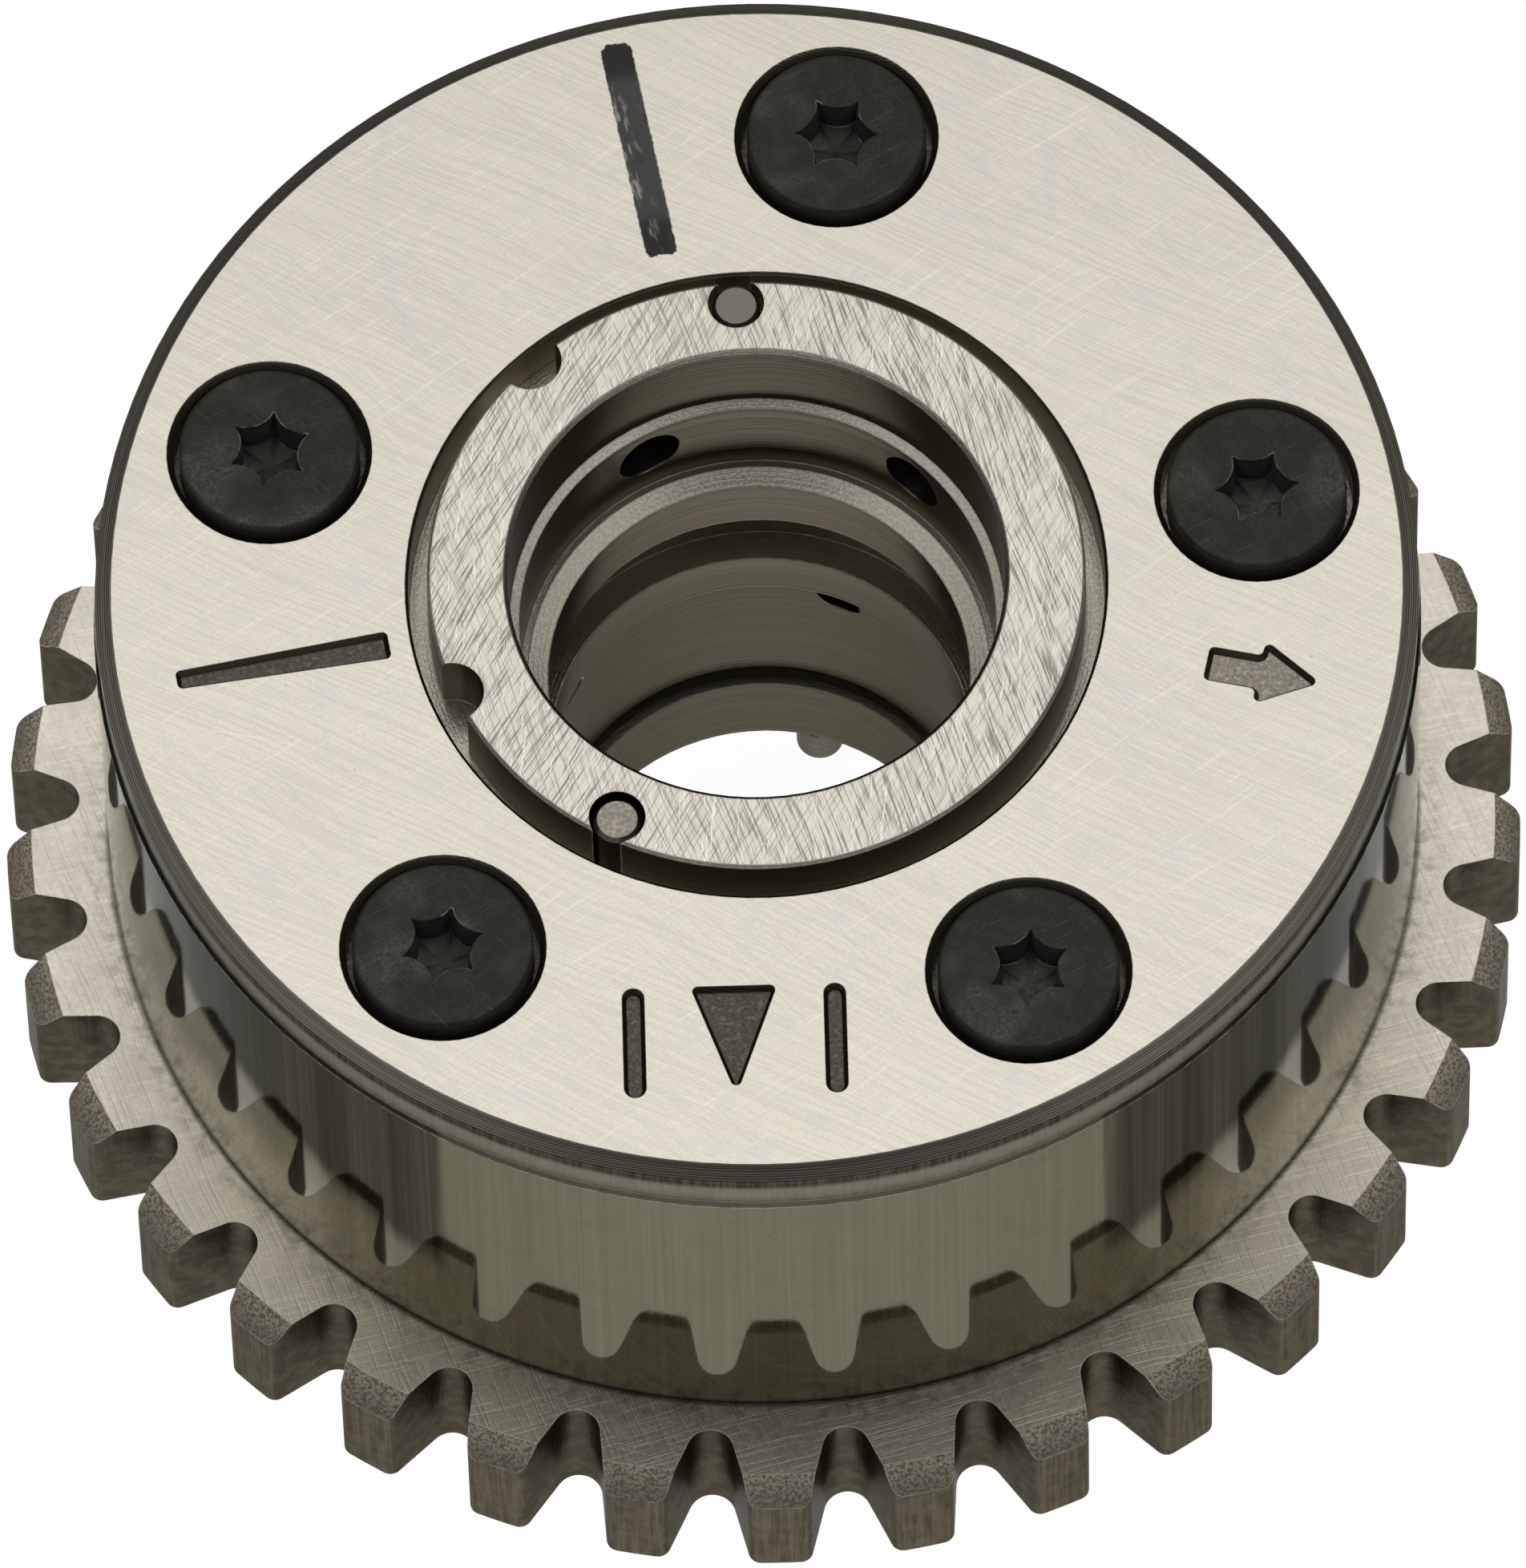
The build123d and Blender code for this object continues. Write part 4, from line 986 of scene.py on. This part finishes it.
class PhaserLook(bpy.types.PropertyGroup):
    """Colours of the steel and the size of the ink stroke."""

    ground_steel: colour_property("Ground steel", "Cover face", (0.80, 0.755, 0.645))
    # Painted reflection: the rim's steel is dark as it stands in for dark surroundings
    rim_steel: colour_property("Rim steel", "Crests of the turned rim", (0.24, 0.225, 0.18))
    # Dark specks, and painted shade under the rim's chamfer and at the wall's foot
    dark_speck_and_shade: colour_property("Cut steel", "Rim grooves and dark corners", (0.06, 0.053, 0.04))
    mark_floor: colour_property("Mark floor", "Floors of the cut marks", (0.075, 0.068, 0.055))
    mark_fleck: colour_property("Mark fleck", "Bare flecks on those floors", (0.46, 0.42, 0.34))
    blue_stain: colour_property("Blue stain", "Faint ring stains on the cover", (0.62, 0.66, 0.66))
    warm_stain: colour_property("Warm stain", "Warm tint on walls", (0.17, 0.14, 0.095))
    cut_wall: colour_property("Cut wall", "Walls of counterbores and marks", (0.56, 0.51, 0.40))
    ink: colour_property("Ink", "Ends of the hand-drawn stroke", (0.032, 0.030, 0.027))
    ink_film: colour_property("Ink film", "Thin middle of the stroke", (0.085, 0.087, 0.082))
    # Edges rubbed bright, and a painted highlight on them
    worn_edge_highlight: colour_property("Bright edge", "Edges rubbed to bare steel", (0.86, 0.84, 0.78))
    # Painted reflection: the wall's steel is dark as it stands in for dark surroundings
    wall_steel: colour_property("Wall steel", "Round wall of the housing", (0.21, 0.197, 0.146))
    # Painted reflection: lighter sides and rear of the wall
    wall_light_reflection: colour_property("Light wall", "Sides and rear of the wall", (0.86, 0.825, 0.72))
    # Painted reflection: the dark bands on the wall
    dark_reflection_band: colour_property("Dark band", "Darker bands on the wall", (0.082, 0.078, 0.063))
    sprocket_face: colour_property("Sprocket face", "Ground faces", (0.80, 0.755, 0.64))
    chamfer_steel: colour_property("Tooth chamfer", "Grainy tooth fronts", (0.36, 0.32, 0.25))
    # Painted reflection: the flanks are dark as they stand in for dark surroundings
    flank_steel: colour_property("Tooth flank", "Tips, flanks and roots", (0.12, 0.105, 0.078))
    # Painted shade in the corner at the foot of the housing
    corner_shade: colour_property("Corner shade", "Dark specks", (0.11, 0.10, 0.075))
    ring_steel: colour_property("Ring steel", "Ground front ring of the rotor", (0.80, 0.76, 0.655))
    # Painted shade: the bore's walls are dark
    bore_steel: colour_property("Bore steel", "Walls of the bore", (0.16, 0.147, 0.112))
    ledge_steel: colour_property("Ledge steel", "Steps in the bore", (0.44, 0.415, 0.345))
    black_oxide: colour_property("Black oxide", "Cover screws", (0.030, 0.030, 0.026))
    scuff: colour_property("Scuff", "Scuffs on the screws", (0.20, 0.19, 0.17))
    pin_body: colour_property("Pin", "Sides of the pins", (0.16, 0.148, 0.118))
    pin_end: colour_property("Pin end", "Plain end of a pin", (0.21, 0.20, 0.17))
    pin_tan: colour_property("Pitted pin end", "Rough end of the near pin", (0.40, 0.36, 0.30))
    polymer: colour_property("Polymer", "Tip seals", (0.05, 0.035, 0.022))
    socket_tip: length_property("Socket tip", "Radius of the lobes", 2.72)
    socket_waist: length_property("Socket waist", "Radius between the lobes", 1.72)
    socket_flute: length_property("Socket flute", "Radius of the flutes", 1.8)
    head_round: length_property("Head rounding", "Rounding of the heads", 0.3)
    ink_azimuth: FloatProperty(
        name="Ink azimuth", description="Direction of the stroke in degrees", default=100.0
    )
    ink_offset: length_property("Ink offset", "Sideways shift from the axis", 1.2)
    ink_start: length_property("Ink start", "Inner end", 24.05)
    ink_end: length_property("Ink end", "Outer end", 38.85)
    ink_width: length_property("Ink width", "Width", 1.95)


class PhaserStage(bpy.types.PropertyGroup):
    """Floor, light and camera."""

    floor_colour: colour_property("Floor", "Colour of the floor", (0.95, 0.95, 0.95))
    floor_glow: FloatProperty(
        name="Floor glow",
        description="Share of the white that the camera sees by itself",
        default=0.97,
        min=0.0,
        max=1.0,
    )
    horizon: level_property("Horizon", "Brightness of the world near the floor", 0.12)
    zenith: level_property("Zenith", "Brightness of the world overhead", 0.75)
    hood: level_property("Hood", "Share of the world's light left round the camera", 0.3)
    box_level: level_property("Soft box", "Brightness of the soft box", 0.35)
    box_size: FloatProperty(
        name="Box size", description="Side of the soft box", default=0.5, unit="LENGTH"
    )


class PHASER_OT_cover(bpy.types.Operator):
    """Finish the front cover"""

    bl_idname = "phaser.cover"
    bl_label = "Front cover"

    def execute(self, context):
        dress(["front_cover"], cover_steel(context.scene.phaser_look))
        return {"FINISHED"}


class PHASER_OT_housing(bpy.types.Operator):
    """Finish the vane housing"""

    bl_idname = "phaser.housing"
    bl_label = "Vane housing"

    def execute(self, context):
        dress(["vane_housing"], wall_steel(context.scene.phaser_look))
        return {"FINISHED"}


class PHASER_OT_sprocket(bpy.types.Operator):
    """Finish the chain sprocket"""

    bl_idname = "phaser.sprocket"
    bl_label = "Chain sprocket"

    def execute(self, context):
        dress(["sprocket"], sprocket_steel(context.scene.phaser_look))
        return {"FINISHED"}


class PHASER_OT_rotor(bpy.types.Operator):
    """Finish the rotor"""

    bl_idname = "phaser.rotor"
    bl_label = "Rotor"

    def execute(self, context):
        dress(["rotor"], rotor_steel(context.scene.phaser_look))
        return {"FINISHED"}


class PHASER_OT_screws(bpy.types.Operator):
    """Make and finish the five cover screws"""

    bl_idname = "phaser.screws"
    bl_label = "Cover screws"

    def execute(self, context):
        look = context.scene.phaser_look
        material = black_oxide(look)
        for number in range(1, len(SOCKET_AZIMUTHS) + 1):
            screw_piece(number, look).data.materials.append(material)
        return {"FINISHED"}


class PHASER_OT_pins(bpy.types.Operator):
    """Finish the pins, the lock and its bush"""

    bl_idname = "phaser.pins"
    bl_label = "Pins and lock"

    def execute(self, context):
        look = context.scene.phaser_look
        plain = pin_steel(look, "pin_steel", look.pin_end, 0.15)
        rough = pin_steel(look, "pin_steel_rough", look.pin_tan, 0.9)
        dress(["rotor_pin_a", "cam_locating_pin", "housing_dowel"], plain)
        dress(["lock_pin", "lock_pin_cap", "lock_bush"], plain)
        dress(["rotor_pin_b"], rough)
        return {"FINISHED"}


class PHASER_OT_seals(bpy.types.Operator):
    """Finish the tip seals and their springs, and make the lock spring"""

    bl_idname = "phaser.seals"
    bl_label = "Seals and springs"

    def execute(self, context):
        look = context.scene.phaser_look
        dress(numbered("vane_seal") + numbered("web_seal"), seal_polymer(look))
        springs = spring_steel(look)
        dress(numbered("vane_seal_spring") + numbered("web_seal_spring"), springs)
        lock_coil().data.materials.append(springs)
        return {"FINISHED"}


def floor_material(stage):
    """Pale floor that the camera and the steel see as white, with the part's shadow on it."""
    material = bpy.data.materials.new("studio_floor")
    tree = empty_tree(material)
    rays = add(tree, "ShaderNodeLightPath").outputs
    seen = larger(tree, rays["Is Camera Ray"], rays["Is Glossy Ray"])
    seen = larger(tree, seen, rays["Is Transmission Ray"])
    share = times(tree, seen, stage.floor_glow)
    matt = add(tree, "ShaderNodeBsdfDiffuse", {"Color": stage.floor_colour}).outputs[0]
    white = add(tree, "ShaderNodeEmission", {"Color": WHITE, "Strength": 1.0}).outputs[0]
    mixed = add(tree, "ShaderNodeMixShader", (share, matt, white)).outputs[0]
    put(tree, add(tree, "ShaderNodeOutputMaterial").inputs["Surface"], mixed)
    return material


def studio_world(stage):
    """Plain world: bright overhead, dimmer near the horizon and round the camera."""
    world = bpy.data.worlds.new("studio")
    tree = empty_tree(world)
    direction = add(tree, "ShaderNodeTexCoord").outputs["Generated"]
    rise = parts(tree, direction)[2]
    level = ramp(tree, rise, *SKY_RISE, stage.horizon, stage.zenith)
    camera_side = (0.0, -math.cos(CAMERA_ELEVATION), math.sin(CAMERA_ELEVATION))
    hood = ramp(tree, dot(tree, direction, camera_side), HOOD_RIM, HOOD_CORE)
    level = times(tree, level, between(tree, hood, 1.0, stage.hood))
    sky = add(tree, "ShaderNodeBackground", {"Color": WHITE, "Strength": level})
    put(tree, add(tree, "ShaderNodeOutputWorld").inputs["Surface"], sky.outputs[0])
    return world


def soft_box(name, direction, distance_m, size_m, level):
    """Square soft box that looks at the part, with a given brightness."""
    lamp = bpy.data.lights.new(name, "AREA")
    lamp.shape = "SQUARE"
    lamp.size = size_m
    lamp.energy = level * math.pi * size_m * size_m
    box = new_object(name, lamp)
    away = Vector(direction).normalized()
    box.location = away * distance_m
    box.rotation_mode = "QUATERNION"
    box.rotation_quaternion = away.to_track_quat("Z", "Y")


class PHASER_OT_stage(bpy.types.Operator):
    """Build the floor, the lights and the camera"""

    bl_idname = "phaser.stage"
    bl_label = "Stage"

    def execute(self, context):
        scene = context.scene
        stage = scene.phaser_stage
        scene.view_settings.view_transform = "Standard"
        mesh = bpy.data.meshes.new("floor")
        level_m = frame_box[0].z
        signs = ((-1, -1), (1, -1), (1, 1), (-1, 1))
        corners = [(x * FLOOR_HALF_M, y * FLOOR_HALF_M, level_m) for x, y in signs]
        mesh.from_pydata(corners, [], [(0, 1, 2, 3)])
        mesh.materials.append(floor_material(stage))
        new_object("floor", mesh)
        scene.world = studio_world(stage)
        upwards = (0.0, math.cos(BOX_ELEVATION), math.sin(BOX_ELEVATION))
        soft_box("soft_box_top", upwards, BOX_DISTANCE_M, stage.box_size, stage.box_level)

        # Camera axes: the frame is rolled a little, so its right and up lean into each other
        across = Vector((1.0, 0.0, 0.0))
        upward = Vector((0.0, math.sin(CAMERA_ELEVATION), math.cos(CAMERA_ELEVATION)))
        right = (across - CAMERA_ROLL * upward).normalized()
        up = (upward + CAMERA_ROLL * across).normalized()
        back = right.cross(up)
        aim = Vector((0.0, 0.0, COVER_FACE))
        aim += right * ((FRAME_WIDTH_PX / 2 - FACE_CENTRE_PX[0]) / PX_PER_MM)
        aim -= up * ((FRAME_HEIGHT_PX / 2 - FACE_CENTRE_PX[1]) / PX_PER_MM)
        camera = bpy.data.cameras.new("camera")
        camera.sensor_width = SENSOR
        camera.lens = SENSOR * CAMERA_DISTANCE / (FRAME_HEIGHT_PX / PX_PER_MM)
        camera.clip_start = 0.1
        camera.clip_end = 100.0
        eye = new_object("camera", camera)
        turn = Matrix((right, up, back)).transposed().to_4x4()
        eye.matrix_world = Matrix.Translation((aim + back * CAMERA_DISTANCE) * MM) @ turn
        scene.camera = eye
        return {"FINISHED"}


PIECES = (
    PHASER_OT_cover,
    PHASER_OT_housing,
    PHASER_OT_sprocket,
    PHASER_OT_rotor,
    PHASER_OT_screws,
    PHASER_OT_pins,
    PHASER_OT_seals,
    PHASER_OT_stage,
)


class PHASER_PT_panel(bpy.types.Panel):
    """Sidebar list of the phaser's finishes"""

    bl_idname = "PHASER_PT_panel"
    bl_label = "Cam phaser"
    bl_space_type = "VIEW_3D"
    bl_region_type = "UI"
    bl_category = "Phaser"

    def draw(self, context):
        for piece in PIECES:
            self.layout.operator(piece.bl_idname)
        for group in (context.scene.phaser_look, context.scene.phaser_stage):
            box = self.layout.box()
            for name in group.bl_rna.properties.keys():
                if name not in ("rna_type", "name"):
                    box.prop(group, name)


CLASSES = (PhaserLook, PhaserStage, *PIECES, PHASER_PT_panel)


def register():
    for each in CLASSES:
        bpy.utils.register_class(each)
    bpy.types.Scene.phaser_look = PointerProperty(type=PhaserLook)
    bpy.types.Scene.phaser_stage = PointerProperty(type=PhaserStage)


def unregister():
    del bpy.types.Scene.phaser_stage
    del bpy.types.Scene.phaser_look
    for each in reversed(CLASSES):
        bpy.utils.unregister_class(each)


def main():
    register()
    for piece in PIECES:
        group, name = piece.bl_idname.split(".")
        getattr(getattr(bpy.ops, group), name)()
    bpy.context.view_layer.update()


if __name__ == "__main__":
    main()
